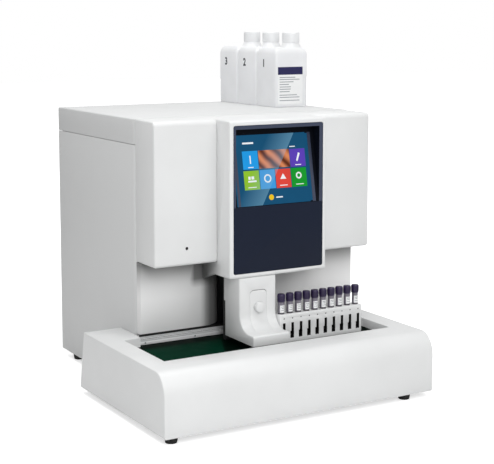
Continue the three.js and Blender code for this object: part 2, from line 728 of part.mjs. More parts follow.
const DOOR_OFFSET = 1;
const DOOR_WIDTH = 38;
const DOOR_TOP = 223;
const DOOR_CORNER = 8;
const DOOR_SWING_GAP = 1.2;
const DOOR_HINGE_ANGLE = 16 * DEGREE;
const BARREL_RADIUS = 3.3;
const BARREL_CLEARANCE = 0.5;
const PIN_RADIUS = 1.2;
const PIN_LENGTH = 4;
const BOSS_LENGTH = 6;
const CRADLE_WIDTH = 20;
const CRADLE_DEPTH = 18;
const CRADLE_BOTTOM = 152;
const CRADLE_TOP = 196;
const CRADLE_FLOOR = 3;
const CRADLE_BORE = 7;

const DOOR_CENTRE = COLUMN_CENTRE + DOOR_OFFSET;
const DOOR_LEFT = DOOR_CENTRE - DOOR_WIDTH / 2;
const DOOR_RIGHT = DOOR_CENTRE + DOOR_WIDTH / 2;
const HINGE_Y = FLARE_Y + (FLARE_RADIUS + BARREL_RADIUS) * Math.sin(DOOR_HINGE_ANGLE);
const HINGE_Z = FLARE_Z - (FLARE_RADIUS + BARREL_RADIUS) * Math.cos(DOOR_HINGE_ANGLE);

// The door's front view from the hinge up, widened by a margin and raised at the top, where the
// swinging edge first rises.
function doorPrism(margin, above) {
  const [left, right, top] = [DOOR_LEFT - margin, DOOR_RIGHT + margin, DOOR_TOP + above];
  const radius = DOOR_CORNER + margin;
  const shape = new THREE.Shape();
  shape.moveTo(left, HINGE_Z);
  shape.lineTo(right, HINGE_Z);
  shape.absarc(right - radius, top - radius, radius, 0, QUARTER);
  shape.absarc(left + radius, top - radius, radius, QUARTER, HALF_TURN);
  return alongY(shape, HINGE_Y, COLUMN_REAR + OVERRUN);
}

function columnCover() {
  const profile = columnProfile(0, COLUMN_BOTTOM - OVERRUN, COLUMN_TOP + OVERRUN, COLUMN_REAR,
    COLUMN_REAR_STEP);
  const outer = alongX(profile, COLUMN_LEFT, COLUMN_RIGHT, COLUMN_EDGE);
  const slice = block(0, TRAY_WIDTH, 0, WALL_FRONT, COLUMN_BOTTOM, COLUMN_TOP);
  const hollow = columnHollow(COLUMN_LEFT + MOULDING, COLUMN_RIGHT - MOULDING);
  const doorEnds = [[DOOR_LEFT - GAP - BOSS_LENGTH, DOOR_LEFT - GAP],
    [DOOR_RIGHT + GAP, DOOR_RIGHT + GAP + BOSS_LENGTH]];
  const bosses = doorEnds.map(([x0, x1]) => barX(HINGE_Y, HINGE_Z, BARREL_RADIUS, x0, x1));
  const barrelRoom = barX(HINGE_Y, HINGE_Z, BARREL_RADIUS + BARREL_CLEARANCE, DOOR_LEFT - GAP,
    DOOR_RIGHT + GAP);
  const pinReach = PIN_LENGTH + EASY_GAP;
  const pinHoles = barX(HINGE_Y, HINGE_Z, PIN_RADIUS + GAP, DOOR_LEFT - pinReach, DOOR_RIGHT + pinReach);
  const shell = outer.intersect(slice).subtract(hollow);
  return cutAll(joinAll([shell, ...bosses]), [doorPrism(GAP, DOOR_SWING_GAP), barrelRoom, pinHoles]);
}

function statDoor() {
  const front = alongX(columnProfile(0, COLUMN_BOTTOM, COLUMN_TOP, COLUMN_REAR), DOOR_LEFT, DOOR_RIGHT);
  const leaf = front.subtract(columnHollow(DOOR_LEFT - OVERRUN, DOOR_RIGHT + OVERRUN));
  const barrel = barX(HINGE_Y, HINGE_Z, BARREL_RADIUS, DOOR_LEFT, DOOR_RIGHT);
  const pins = barX(HINGE_Y, HINGE_Z, PIN_RADIUS, DOOR_LEFT - PIN_LENGTH, DOOR_RIGHT + PIN_LENGTH);
  const cradleRear = DISPLAY_FRONT + MOULDING + CRADLE_DEPTH;
  const cradle = alongZ(
    roundedRectangle(DOOR_CENTRE - CRADLE_WIDTH / 2, DOOR_CENTRE + CRADLE_WIDTH / 2,
      DISPLAY_FRONT + MOULDING / 2, cradleRear, MOULDING / 2),
    CRADLE_BOTTOM,
    CRADLE_TOP,
  );
  const bore = disc(CRADLE_BORE, CRADLE_BOTTOM + CRADLE_FLOOR, CRADLE_TOP + OVERRUN)
    .translate([DOOR_CENTRE, cradleRear - CRADLE_DEPTH / 2, 0]);
  return joinAll([leaf.intersect(doorPrism(0, 0)), barrel, pins, cradle.subtract(bore)]);
}

place('column_cover', columnCover(), shellWhite);
place('stat_door', statDoor(), shellWhite);

// Push-pull knob on the door

const KNOB_RADIUS = 10.5;
const KNOB_NECK = 9;
const KNOB_NECK_LENGTH = 1.6;
const KNOB_REACH = 11;
const KNOB_SHOULDER = 8;
const KNOB_LEVEL = 190;
const KNOB_DOME_SHARES = [[0.94, 0.45], [0.72, 0.8], [0.38, 0.96]];

function statKnob() {
  const dome = KNOB_REACH - KNOB_SHOULDER;
  const crown = KNOB_DOME_SHARES.map(([out, up]) => [KNOB_RADIUS * out, KNOB_SHOULDER + dome * up]);
  const profile = [[0, 0], [KNOB_NECK, 0], [KNOB_NECK, KNOB_NECK_LENGTH], [KNOB_RADIUS, KNOB_NECK_LENGTH],
    [KNOB_RADIUS, KNOB_SHOULDER], ...crown, [0, KNOB_REACH]];
  return turned(profile, ROUND_SIDES).rotate([SQUARE_DEG, 0, 0])
    .translate([DOOR_CENTRE, DISPLAY_FRONT - GAP, KNOB_LEVEL]);
}

place('stat_knob', statKnob(), shellWhite);

// Ten-place sample rack with a keyhole slot and an index dot at each place

const RACK_GAP = 2;
const RACK_END = 10;
const RACK_LAST_END = 9;
const RACK_EDGE = 0.8;
const RACK_CORNER = 1.5;
const TUBE_BOTTOM = 127;
const BORE_RADIUS = 6.9;
const BORE_SIDES = 12;
const SLOT_WIDTH = 6;
const SLOT_TOP = 152;
const KEYHOLE_WIDTH = 8.6;
const KEYHOLE_TOP = 135;
const KEYHOLE_BOTTOM = 120.5;
const KEYHOLE_SHIFT = 1;
const DOT_RADIUS = 1.5;
const DOT_SIDES = 8;
const DOT_DEPTH = 1;
const DOT_LEVEL = 161;

const RACK_LEFT = COLUMN_RIGHT + RACK_GAP;
const RACK_RIGHT = RACK_LEFT + RACK_END + RACK_PITCH * (RACK_PLACES - 1) + RACK_LAST_END;
const TUBE_Y = RACK_FRONT + RACK_DEPTH / 2;

function placeX(number) {
  return RACK_LEFT + RACK_END + RACK_PITCH * number;
}

function rackPlace(x) {
  const front = RACK_FRONT - OVERRUN;
  const low = TUBE_BOTTOM - GAP;
  const middle = x - KEYHOLE_SHIFT;
  const bore = disc(BORE_RADIUS, low, RACK_TOP + OVERRUN, BORE_SIDES).translate([x, TUBE_Y, 0]);
  const slot = block(x - SLOT_WIDTH / 2, x + SLOT_WIDTH / 2, front, TUBE_Y, low, SLOT_TOP);
  const keyhole = block(middle - KEYHOLE_WIDTH / 2, middle + KEYHOLE_WIDTH / 2, front, TUBE_Y,
    KEYHOLE_BOTTOM, KEYHOLE_TOP);
  const dot = barY(x, DOT_LEVEL, DOT_RADIUS, front, RACK_FRONT + DOT_DEPTH, DOT_SIDES);
  return joinAll([bore, slot, keyhole, dot]);
}

function rack() {
  const body = alongZ(
    roundedRectangle(RACK_LEFT, RACK_RIGHT, RACK_FRONT, RACK_FRONT + RACK_DEPTH, RACK_CORNER),
    PLATE_TOP + GAP,
    RACK_TOP,
    RACK_EDGE,
  );
  const cutters = Array.from({ length: RACK_PLACES }, (_, number) => rackPlace(placeX(number)));
  return cutAll(body, cutters);
}

place('rack', rack(), rackWhite);

// Stoppered sample tubes

const TUBE_SIDES = 12;
const TUBE_NOSE_SHARES = [[0.75, 0.25], [1, 1]];
const CAP_SIDES = 12;
const CAP_RADIUS = 7.7;
const CAP_CROWN_RADIUS = 6.9;
const CAP_CROWN = 1.6;
const CAP_BELOW_RIM = 8;
const CAP_ABOVE_RIM = 8;

const TUBE_RIM = TUBE_BOTTOM + TUBE_LENGTH;

function sampleTube(x) {
  const nose = TUBE_NOSE_SHARES.map(([out, up]) => [TUBE_RADIUS * out, TUBE_BOTTOM + TUBE_RADIUS * up]);
  const profile = [[0, TUBE_BOTTOM], ...nose, [TUBE_RADIUS, TUBE_RIM], [0, TUBE_RIM]];
  return turned(profile, TUBE_SIDES).translate([x, TUBE_Y, 0]);
}

function tubeCap(x) {
  const low = TUBE_RIM - CAP_BELOW_RIM;
  const high = TUBE_RIM + CAP_ABOVE_RIM;
  const seat = TUBE_RIM + GAP;
  const bore = TUBE_RADIUS + GAP;
  const profile = [[bore, low], [CAP_RADIUS, low], [CAP_RADIUS, high - CAP_CROWN], [CAP_CROWN_RADIUS, high],
    [0, high], [0, seat], [bore, seat], [bore, low]];
  return turned(profile, CAP_SIDES).translate([x, TUBE_Y, 0]);
}

for (let number = 0; number < RACK_PLACES; number += 1) {
  place(`tube_${number + 1}`, sampleTube(placeX(number)), tubeClear);
  place(`tube_cap_${number + 1}`, tubeCap(placeX(number)), capPurple);
}

// Reagent bottles in a row along the right side of the roof

const BOTTLE_RIGHT_INSET = 19.5;
const BOTTLE_REAR_INSET = 6;
const BOTTLE_WALL = 1.5;
const BOTTLE_CORNER = 8;
const BOTTLE_BASE_ROUND = 2;
const BOTTLE_SHOULDER_DROP = 14;
const BOTTLE_SHOULDER_STEP = 10;
const BOTTLE_SHOULDER_SHARES = [[0, 0], [0.38, 0.12], [0.76, 0.52], [1, 1]];
const BOTTLE_CORNER_LEAST = 1;
const NECK_OFFSET_X = 22;
const NECK_OFFSET_Y = 2;
const NECK_FOOT_RADIUS = 24;
const NECK_HEAD_RADIUS = 18.5;
const NECK_CONE = 10;
const NECK_RADIUS = 15;
const NECK_BORE = 13;
const NECK_RISE = 30.5;
const BOTTLE_CAP_RADIUS = 19;
const BOTTLE_CAP_RISE = 34;
const BOTTLE_CAP_CROWN = 1.5;

const BOTTLE_RIGHT = CASE_RIGHT - BOTTLE_RIGHT_INSET;
const BOTTLE_LEFT = BOTTLE_RIGHT - BOTTLE_WIDTH;
const BOTTLE_LAST_FRONT = CASE_REAR - BOTTLE_REAR_INSET - BOTTLE_DEPTH;
const BOTTLE_FIRST_FRONT = BOTTLE_LAST_FRONT - BOTTLE_PITCH * (BOTTLE_COUNT - 1);
const BOTTLE_FOOT = CASE_TOP + GAP;
const BOTTLE_SHOULDER = BOTTLE_FOOT + BOTTLE_BODY;

// The bottle's body, drawn in by a wall on all sides.
function bottleBody(front, wall) {
  const ring = (z, step) => {
    const side = wall + step;
    const radius = Math.max(BOTTLE_CORNER - side, BOTTLE_CORNER_LEAST);
    const points = cornerPoints(BOTTLE_LEFT + side, BOTTLE_RIGHT - side, front + side,
      front + BOTTLE_DEPTH - side, radius);
    return points.map(([x, y]) => new THREE.Vector3(x, y, z));
  };
  const shoulder = BOTTLE_SHOULDER_SHARES.map(([rise, step]) => ring(
    BOTTLE_SHOULDER - wall - BOTTLE_SHOULDER_DROP * (1 - rise),
    BOTTLE_SHOULDER_STEP * step,
  ));
  const foot = BOTTLE_FOOT + wall;
  return lofted([ring(foot, BOTTLE_BASE_ROUND), ring(foot + BOTTLE_BASE_ROUND, 0), ...shoulder]);
}

function neckCentre(front) {
  return [(BOTTLE_LEFT + BOTTLE_RIGHT) / 2 + NECK_OFFSET_X, front + BOTTLE_DEPTH / 2 - NECK_OFFSET_Y, 0];
}

function bottle(front) {
  const foot = BOTTLE_SHOULDER - BOTTLE_SHOULDER_DROP;
  const coneTop = BOTTLE_SHOULDER + NECK_CONE;
  const top = BOTTLE_SHOULDER + NECK_RISE;
  const profile = [[0, foot], [NECK_FOOT_RADIUS, foot], [NECK_FOOT_RADIUS, BOTTLE_SHOULDER],
    [NECK_HEAD_RADIUS, coneTop], [NECK_RADIUS, coneTop], [NECK_RADIUS, top], [0, top]];
  const neck = turned(profile, ROUND_SIDES).translate(neckCentre(front));
  const sides = alongZ(
    roundedRectangle(BOTTLE_LEFT, BOTTLE_RIGHT, front, front + BOTTLE_DEPTH, BOTTLE_CORNER),
    BOTTLE_FOOT,
    top + OVERRUN,
  );
  const throat = disc(NECK_BORE, foot, top + OVERRUN).translate(neckCentre(front));
  const outer = bottleBody(front, 0).add(neck.intersect(sides));
  return cutAll(outer, [bottleBody(front, BOTTLE_WALL), throat]);
}

function bottleCap(front) {
  const low = BOTTLE_SHOULDER + NECK_CONE + GAP;
  const high = BOTTLE_SHOULDER + BOTTLE_CAP_RISE;
  const seat = BOTTLE_SHOULDER + NECK_RISE + GAP;
  const bore = NECK_RADIUS + GAP;
  const profile = [[bore, low], [BOTTLE_CAP_RADIUS, low], [BOTTLE_CAP_RADIUS, high - BOTTLE_CAP_CROWN],
    [BOTTLE_CAP_RADIUS - BOTTLE_CAP_CROWN, high], [0, high], [0, seat], [bore, seat], [bore, low]];
  return turned(profile, ROUND_SIDES).translate(neckCentre(front));
}

for (let number = 0; number < BOTTLE_COUNT; number += 1) {
  const front = BOTTLE_FIRST_FRONT + BOTTLE_PITCH * number;
  place(`bottle_${number + 1}`, bottle(front), bottleWhite);
  place(`bottle_cap_${number + 1}`, bottleCap(front), bottleWhite);
}

// Rear panel: set in from the casing's end, with its grille and connector holes

const FAN_INSET = 117;
const FAN_Z = 380;
const FAN_SIZE = 80;
const FAN_DEPTH = 25;
const GRILLE_RADIUS = 37;
const GRILLE_PITCH = 8;
const GRILLE_SLOT = 4;
const POWER_INSET = 74;
const POWER_Z = 80;
const POWER_WIDTH = 27;
const POWER_HEIGHT = 47;
const SOCKETS_OFFSET = 21.5;
const SOCKETS_Z = 120;
const SOCKETS_WIDTH = 96;
const SOCKETS_HEIGHT = 26;
const FITTINGS_INSET = 67;
const FITTINGS_Z = 90;
const FITTINGS_WIDTH = 72;
const FITTINGS_HEIGHT = 22;

const REAR_PANEL_FRONT = REAR_FACE - SHEET;
const FAN_X = CASE_LEFT + FAN_INSET;
const POWER_X = CASE_RIGHT - POWER_INSET;
const SOCKETS_X = CASE_CENTRE + SOCKETS_OFFSET;
const FITTINGS_X = CASE_LEFT + FITTINGS_INSET;
const GRILLE_SLOTS = 2 * Math.floor(GRILLE_RADIUS / GRILLE_PITCH) + 1;

function rearHole(x, z, width, height) {
  return block(x - width / 2 - GAP, x + width / 2 + GAP, REAR_PANEL_FRONT - OVERRUN, CASE_REAR,
    z - height / 2 - GAP, z + height / 2 + GAP);
}

function grilleSlots() {
  return Array.from({ length: GRILLE_SLOTS }, (_, number) => {
    const up = GRILLE_PITCH * (number - (GRILLE_SLOTS - 1) / 2);
    const half = Math.sqrt(GRILLE_RADIUS ** 2 - up ** 2);
    return block(FAN_X - half, FAN_X + half, REAR_PANEL_FRONT - OVERRUN, CASE_REAR,
      FAN_Z + up - GRILLE_SLOT / 2, FAN_Z + up + GRILLE_SLOT / 2);
  });
}

function rearPanel() {
  const sheet = block(INNER_LEFT, INNER_RIGHT, REAR_PANEL_FRONT, REAR_FACE, MODULE_FLOOR,
    CASE_TOP - SHEET - GAP);
  return cutAll(sheet, [
    ...grilleSlots(),
    rearHole(POWER_X, POWER_Z, POWER_WIDTH, POWER_HEIGHT),
    rearHole(SOCKETS_X, SOCKETS_Z, SOCKETS_WIDTH, SOCKETS_HEIGHT),
    rearHole(FITTINGS_X, FITTINGS_Z, FITTINGS_WIDTH, FITTINGS_HEIGHT),
  ]);
}

place('rear_panel', rearPanel(), sheetGrey);

// Cooling fan behind the grille

const FAN_CORNER = 5;
const FAN_DUCT_RADIUS = 38;
const FAN_HUB_RADIUS = 17;
const FAN_MOUNT_RADIUS = 15;
const FAN_MOUNT_DEPTH = 4;
const FAN_STRUT_WIDTH = 4;
const FAN_STRUTS = 4;
const FAN_BLADES = 7;
const BLADE_TIP_RADIUS = 36.5;
const BLADE_THICKNESS = 1.6;
const BLADE_DEPTH = 15;
const BLADE_TWIST = 34;
const HUB_ROUND = 3;

const FAN_REAR = REAR_PANEL_FRONT - GAP;
const FAN_FRONT = FAN_REAR - FAN_DEPTH;

function aroundY(solid, count) {
  const step = FULL_TURN / DEGREE / count;
  return Array.from({ length: count }, (_, number) => solid.rotate([0, number * step, 0]));
}

function fanFrame() {
  const half = FAN_SIZE / 2;
  const mountRear = FAN_FRONT + FAN_MOUNT_DEPTH;
  const body = alongY(roundedRectangle(-half, half, -half, half, FAN_CORNER), FAN_FRONT, FAN_REAR);
  const duct = barY(0, 0, FAN_DUCT_RADIUS, FAN_FRONT - OVERRUN, CASE_REAR, ROUND_SIDES);
  const strut = block(0, (half + FAN_DUCT_RADIUS) / 2, FAN_FRONT, mountRear, -FAN_STRUT_WIDTH / 2,
    FAN_STRUT_WIDTH / 2);
  const mount = barY(0, 0, FAN_MOUNT_RADIUS, FAN_FRONT, mountRear, ROUND_SIDES);
  return joinAll([body.subtract(duct), mount, ...aroundY(strut, FAN_STRUTS)]).translate([FAN_X, 0, FAN_Z]);
}

function fanRotor() {
  const front = FAN_FRONT + FAN_MOUNT_DEPTH + GAP;
  const rear = FAN_REAR - GAP;
  const profile = [[0, -rear], [FAN_HUB_RADIUS - HUB_ROUND, -rear], [FAN_HUB_RADIUS, -rear + HUB_ROUND],
    [FAN_HUB_RADIUS, -front], [0, -front]];
  const hub = turned(profile, ROUND_SIDES).rotate([SQUARE_DEG, 0, 0]);
  const blade = block(FAN_HUB_RADIUS - HUB_ROUND, BLADE_TIP_RADIUS, -BLADE_DEPTH / 2, BLADE_DEPTH / 2,
    -BLADE_THICKNESS / 2, BLADE_THICKNESS / 2)
    .rotate([BLADE_TWIST, 0, 0]).translate([0, (front + rear) / 2, 0]);
  return joinAll([hub, ...aroundY(blade, FAN_BLADES)]).translate([FAN_X, 0, FAN_Z]);
}

place('fan_frame', fanFrame(), plasticBlack);
place('fan_rotor', fanRotor(), plasticBlack);

// Connectors clipped into the rear panel, each with a flange on the outside

const CLIP_FLANGE = 2;
const CLIP_LAP = 2.5;

const FLANGE_REAR = REAR_FACE + GAP + CLIP_FLANGE;

function clippedBody(x, z, width, height, depth) {
  const reachX = width / 2 + CLIP_LAP;
  const reachZ = height / 2 + CLIP_LAP;
  const body = block(x - width / 2, x + width / 2, REAR_FACE - depth, FLANGE_REAR - CLIP_FLANGE / 2,
    z - height / 2, z + height / 2);
  const flange = alongY(roundedRectangle(x - reachX, x + reachX, z - reachZ, z + reachZ, CLIP_LAP),
    FLANGE_REAR - CLIP_FLANGE, FLANGE_REAR);
  return body.add(flange);
}

// Mains inlet and rocker switch in one module: the inlet below, the rocker above

const POWER_DEPTH = 20;
const POWER_WALL = 2;
const INLET_HEIGHT = 19.5;
const INLET_CAVITY = 16;
const INLET_CHAMFER = 5;
const INLET_PIN_WIDTH = 2;
const INLET_PIN_HEIGHT = 4;
const INLET_PIN_PITCH = 7;
const INLET_EARTH_RISE = 3;
const INLET_PIN_SINK = 3;
const ROCKER_WIDTH = 19;
const ROCKER_HEIGHT = 10;
const ROCKER_RADIUS = 11.5;
const ROCKER_SINK = 6;
const ROCKER_HUB = 2.5;
const ROCKER_TILT = 8;
const ROCKER_PIN_RADIUS = 1.2;
const ROCKER_PIN_LENGTH = 1.5;
const ROCKER_DISH_RADIUS = 16;
const ROCKER_DISH_DEPTH = 2;
const ROCKER_WELL_MARGIN = 2;
const ROCKER_WELL_DEPTH = 16;

const INLET_Z = POWER_Z - POWER_HEIGHT / 2 + INLET_HEIGHT / 2 + POWER_WALL / 2;
const ROCKER_Z = POWER_Z + POWER_HEIGHT / 2 - POWER_WALL - ROCKER_HEIGHT / 2 - ROCKER_WELL_MARGIN;
const ROCKER_Y = REAR_FACE - ROCKER_SINK;

function inletCavity(front) {
  const left = POWER_X - POWER_WIDTH / 2 + POWER_WALL;
  const right = POWER_X + POWER_WIDTH / 2 - POWER_WALL;
  const low = INLET_Z - INLET_HEIGHT / 2 + POWER_WALL;
  const high = INLET_Z + INLET_HEIGHT / 2 - POWER_WALL;
  const shape = outline([[left, low], [right, low], [right, high - INLET_CHAMFER],
    [right - INLET_CHAMFER, high], [left + INLET_CHAMFER, high], [left, high - INLET_CHAMFER]]);
  return alongY(shape, front, FLANGE_REAR + OVERRUN);
}

function powerInlet() {
  const cavityFront = FLANGE_REAR - INLET_CAVITY;
  const pins = [-1, 0, 1].map((side) => {
    const x = POWER_X + side * INLET_PIN_PITCH;
    const z = side === 0 ? INLET_Z + INLET_EARTH_RISE : INLET_Z;
    return block(x - INLET_PIN_WIDTH / 2, x + INLET_PIN_WIDTH / 2, cavityFront - POWER_WALL / 2,
      FLANGE_REAR - INLET_PIN_SINK, z - INLET_PIN_HEIGHT / 2, z + INLET_PIN_HEIGHT / 2);
  });
  const reach = ROCKER_HEIGHT / 2 + ROCKER_WELL_MARGIN;
  const side = ROCKER_WIDTH / 2 + GAP;
  const well = block(POWER_X - side, POWER_X + side, FLANGE_REAR - ROCKER_WELL_DEPTH,
    FLANGE_REAR + OVERRUN, ROCKER_Z - reach, ROCKER_Z + reach);
  const pinEnd = side + ROCKER_PIN_LENGTH;
  const pivots = barX(ROCKER_Y, ROCKER_Z, ROCKER_PIN_RADIUS + GAP, POWER_X - pinEnd, POWER_X + pinEnd);
  const body = clippedBody(POWER_X, POWER_Z, POWER_WIDTH, POWER_HEIGHT, POWER_DEPTH);
  return joinAll([cutAll(body, [inletCavity(cavityFront), well, pivots]), ...pins]);
}

// The rocker is a slice of a round bar with a shallow dish in its face.
function powerSwitch() {
  const half = ROCKER_WIDTH / 2;
  const round = barX(0, 0, ROCKER_RADIUS, -half, half, ROUND_SIDES);
  const slice = block(-half, half, -ROCKER_HUB, ROCKER_RADIUS, -ROCKER_HEIGHT / 2, ROCKER_HEIGHT / 2);
  const dishY = ROCKER_RADIUS + ROCKER_DISH_RADIUS - ROCKER_DISH_DEPTH;
  const dish = barX(dishY, 0, ROCKER_DISH_RADIUS, -ROCKER_WIDTH, ROCKER_WIDTH, ROUND_SIDES);
  const pinEnd = half + ROCKER_PIN_LENGTH;
  const pins = barX(0, 0, ROCKER_PIN_RADIUS, -pinEnd, pinEnd);
  return round.intersect(slice).subtract(dish).add(pins)
    .rotate([-ROCKER_TILT, 0, 0]).translate([POWER_X, ROCKER_Y, ROCKER_Z]);
}

place('power_inlet', powerInlet(), plasticBlack);
place('power_switch', powerSwitch(), plasticBlack);

// Data sockets: shallow recesses for two serial, one network and one USB plug

const SOCKETS_DEPTH = 12;
const SOCKET_RECESS = 9;
const SOCKET_SHARES = [[-0.35, 0.19, 0.38], [-0.12, 0.19, 0.38], [0.12, 0.15, 0.5], [0.34, 0.13, 0.42]];

function dataSockets() {
  const body = clippedBody(SOCKETS_X, SOCKETS_Z, SOCKETS_WIDTH, SOCKETS_HEIGHT, SOCKETS_DEPTH);
  const recesses = SOCKET_SHARES.map(([across, width, height]) => {
    const x = SOCKETS_X + SOCKETS_WIDTH * across;
    return block(x - (SOCKETS_WIDTH * width) / 2, x + (SOCKETS_WIDTH * width) / 2,
      FLANGE_REAR - SOCKET_RECESS, CASE_REAR, SOCKETS_Z - (SOCKETS_HEIGHT * height) / 2,
      SOCKETS_Z + (SOCKETS_HEIGHT * height) / 2);
  });
  return cutAll(body, recesses);
}

place('data_sockets', dataSockets(), plasticBlack);

// Fluid fittings: three barbed spigots on a clip-in plate

const FITTINGS_DEPTH = 8;
const FITTING_COUNT = 3;
const FITTING_PITCH = 24;
const SPIGOT_LENGTH = 13;
const SPIGOT_COLLAR_RADIUS = 7;
const SPIGOT_RADIUS = 3;
const SPIGOT_BARB_RADIUS = 4.2;
const SPIGOT_BORE = 1.6;
const SPIGOT_SIDES = 8;
const SPIGOT_SHARES = [0.25, 0.55, 0.95];

function spigot() {
  const [collar, barb, tip] = SPIGOT_SHARES.map((share) => SPIGOT_LENGTH * share);
  const profile = [[SPIGOT_BORE, -CLIP_FLANGE], [SPIGOT_COLLAR_RADIUS, -CLIP_FLANGE],
    [SPIGOT_COLLAR_RADIUS, collar], [SPIGOT_RADIUS, collar], [SPIGOT_RADIUS, barb],
    [SPIGOT_BARB_RADIUS, barb], [SPIGOT_RADIUS, tip], [SPIGOT_BORE, SPIGOT_LENGTH], [SPIGOT_BORE, -CLIP_FLANGE]];
  return turned(profile, SPIGOT_SIDES).rotate([-SQUARE_DEG, 0, 0]);
}

function fluidFittings() {
  const body = clippedBody(FITTINGS_X, FITTINGS_Z, FITTINGS_WIDTH, FITTINGS_HEIGHT, FITTINGS_DEPTH);
  const places = Array.from({ length: FITTING_COUNT }, (_, number) => {
    const x = FITTINGS_X + FITTING_PITCH * (number - (FITTING_COUNT - 1) / 2);
    return [x, FLANGE_REAR, FITTINGS_Z];
  });
  const bores = places.map(([x, , z]) => barY(x, z, SPIGOT_BORE, REAR_FACE - OVERRUN, CASE_REAR));
  return joinAll([cutAll(body, bores), ...places.map((spot) => spigot().translate(spot))]);
}

place('fluid_fittings', fluidFittings(), plasticBlack);

// Inner modules: pump, oven and detector stand in a row behind the front, board
// and power supply in a row before the rear panel. Each place is a share of the
// room that the modules of a row, or the two rows, leave free.

const PUMP_WIDTH = 100;
const PUMP_DEPTH = 120;
const OVEN_WIDTH = 90;
const OVEN_SETBACK = 50;
const DETECTOR_WIDTH = 120;
const DETECTOR_DEPTH = 90;
const LENS_LENGTH = 26;
const BOARD_WIDTH = 200;
const BOARD_DEPTH = 110;
const SUPPLY_WIDTH = 150;
const SUPPLY_DEPTH = 100;
const FRONT_ROW_SHARES = [0.15, 0.33, 0.63];
const REAR_ROW_SHARES = [0.23, 0.89];
const LEFT_FILE_SHARES = [0.22, 0.76];
const RIGHT_FILE_SHARES = [0.25, 0.93];
const CONNECTOR_ROOM = 20;

// The start of each piece in a row, from the sizes in the row and its free room.
function startsInRow(low, high, sizes, shares) {
  const free = high - low - sizes.reduce((sum, size) => sum + size);
  return shares.map((share, number) => {
    const before = sizes.slice(0, number).reduce((sum, size) => sum + size, 0);
    return low + before + free * share;
  });
}

const [PUMP_LEFT, OVEN_LEFT, DETECTOR_LEFT] = startsInRow(INNER_LEFT, INNER_RIGHT,
  [PUMP_WIDTH, OVEN_WIDTH, DETECTOR_WIDTH + LENS_LENGTH], FRONT_ROW_SHARES);
const [BOARD_LEFT, SUPPLY_LEFT] = startsInRow(INNER_LEFT, INNER_RIGHT, [BOARD_WIDTH, SUPPLY_WIDTH],
  REAR_ROW_SHARES);
const [PUMP_FRONT, BOARD_FRONT] = startsInRow(CASE_FRONT, REAR_PANEL_FRONT, [PUMP_DEPTH, BOARD_DEPTH],
  LEFT_FILE_SHARES);
const [DETECTOR_FRONT, SUPPLY_FRONT] = startsInRow(CASE_FRONT, REAR_PANEL_FRONT - CONNECTOR_ROOM,
  [DETECTOR_DEPTH, SUPPLY_DEPTH], RIGHT_FILE_SHARES);
const OVEN_FRONT = PUMP_FRONT + OVEN_SETBACK;

// Power supply: a closed metal box with louvres in its lid

const SUPPLY_HEIGHT = 50;
const SUPPLY_FOLD = 2;
const LOUVRE_COUNT = 7;
const LOUVRE_WIDTH = 4;
const LOUVRE_DEPTH = 1.5;
const LOUVRE_LENGTH_SHARE = 0.6;

function powerSupply() {
  const top = MODULE_FLOOR + SUPPLY_HEIGHT;
  const box = alongX(
    roundedRectangle(SUPPLY_FRONT, SUPPLY_FRONT + SUPPLY_DEPTH, MODULE_FLOOR, top, SUPPLY_FOLD),
    SUPPLY_LEFT,
    SUPPLY_LEFT + SUPPLY_WIDTH,
  );
  const middle = SUPPLY_FRONT + SUPPLY_DEPTH / 2;
  const reach = (SUPPLY_DEPTH * LOUVRE_LENGTH_SHARE) / 2;
  const louvres = Array.from({ length: LOUVRE_COUNT }, (_, number) => {
    const x = SUPPLY_LEFT + (SUPPLY_WIDTH * (number + 1)) / (LOUVRE_COUNT + 1);
    return block(x - LOUVRE_WIDTH / 2, x + LOUVRE_WIDTH / 2, middle - reach, middle + reach,
      top - LOUVRE_DEPTH, top + OVERRUN);
  });
  return cutAll(box, louvres);
}

place('power_supply', powerSupply(), moduleGrey);

// Delivery pump: a motor and a twin-piston head on a bracket

const PUMP_BRACKET = 4;
const PUMP_AXIS_RISE = 42;
const PUMP_MOTOR_RADIUS = 28;
const PUMP_MOTOR_LENGTH = 66;
const PUMP_HEAD_HEIGHT = 60;
const PUMP_HEAD_DEPTH = 26;
const PUMP_CHAMBER_RADIUS = 11;
const PUMP_CHAMBER_LENGTH = 24;
const PUMP_CHAMBER_PITCH = 44;
const PUMP_HEAD_SHARE = 0.9;

function deliveryPump() {
  const middle = PUMP_LEFT + PUMP_WIDTH / 2;
  const axis = MODULE_FLOOR + PUMP_AXIS_RISE;
  const headFront = PUMP_FRONT + PUMP_CHAMBER_LENGTH;
  const headRear = headFront + PUMP_HEAD_DEPTH;
  const reach = (PUMP_WIDTH * PUMP_HEAD_SHARE) / 2;
  const base = block(PUMP_LEFT, PUMP_LEFT + PUMP_WIDTH, PUMP_FRONT, PUMP_FRONT + PUMP_DEPTH,
    MODULE_FLOOR, MODULE_FLOOR + PUMP_BRACKET);
  const head = block(middle - reach, middle + reach, headFront, headRear, MODULE_FLOOR,
    axis + PUMP_HEAD_HEIGHT / 2);
  const motor = barY(middle, axis, PUMP_MOTOR_RADIUS, headFront, headRear + PUMP_MOTOR_LENGTH, ROUND_SIDES);
  const chambers = [-1, 1].map((side) => barY(middle + (side * PUMP_CHAMBER_PITCH) / 2, axis,
    PUMP_CHAMBER_RADIUS, PUMP_FRONT, headRear, ROUND_SIDES));
  return joinAll([base, head, motor, ...chambers]);
}

place('delivery_pump', deliveryPump(), moduleGrey);

// Column oven: an upright block with the separation column in its front groove
// and cooling fins at its back

const OVEN_DEPTH = 56;
const OVEN_HEIGHT = 240;
const OVEN_CORNER = 6;
const OVEN_GROOVE_RADIUS = 12;
const OVEN_COLUMN_RADIUS = 8;
const OVEN_GROOVE_END = 30;
const FIN_COUNT = 8;
const FIN_THICKNESS = 2.5;
const FIN_DEPTH = 14;

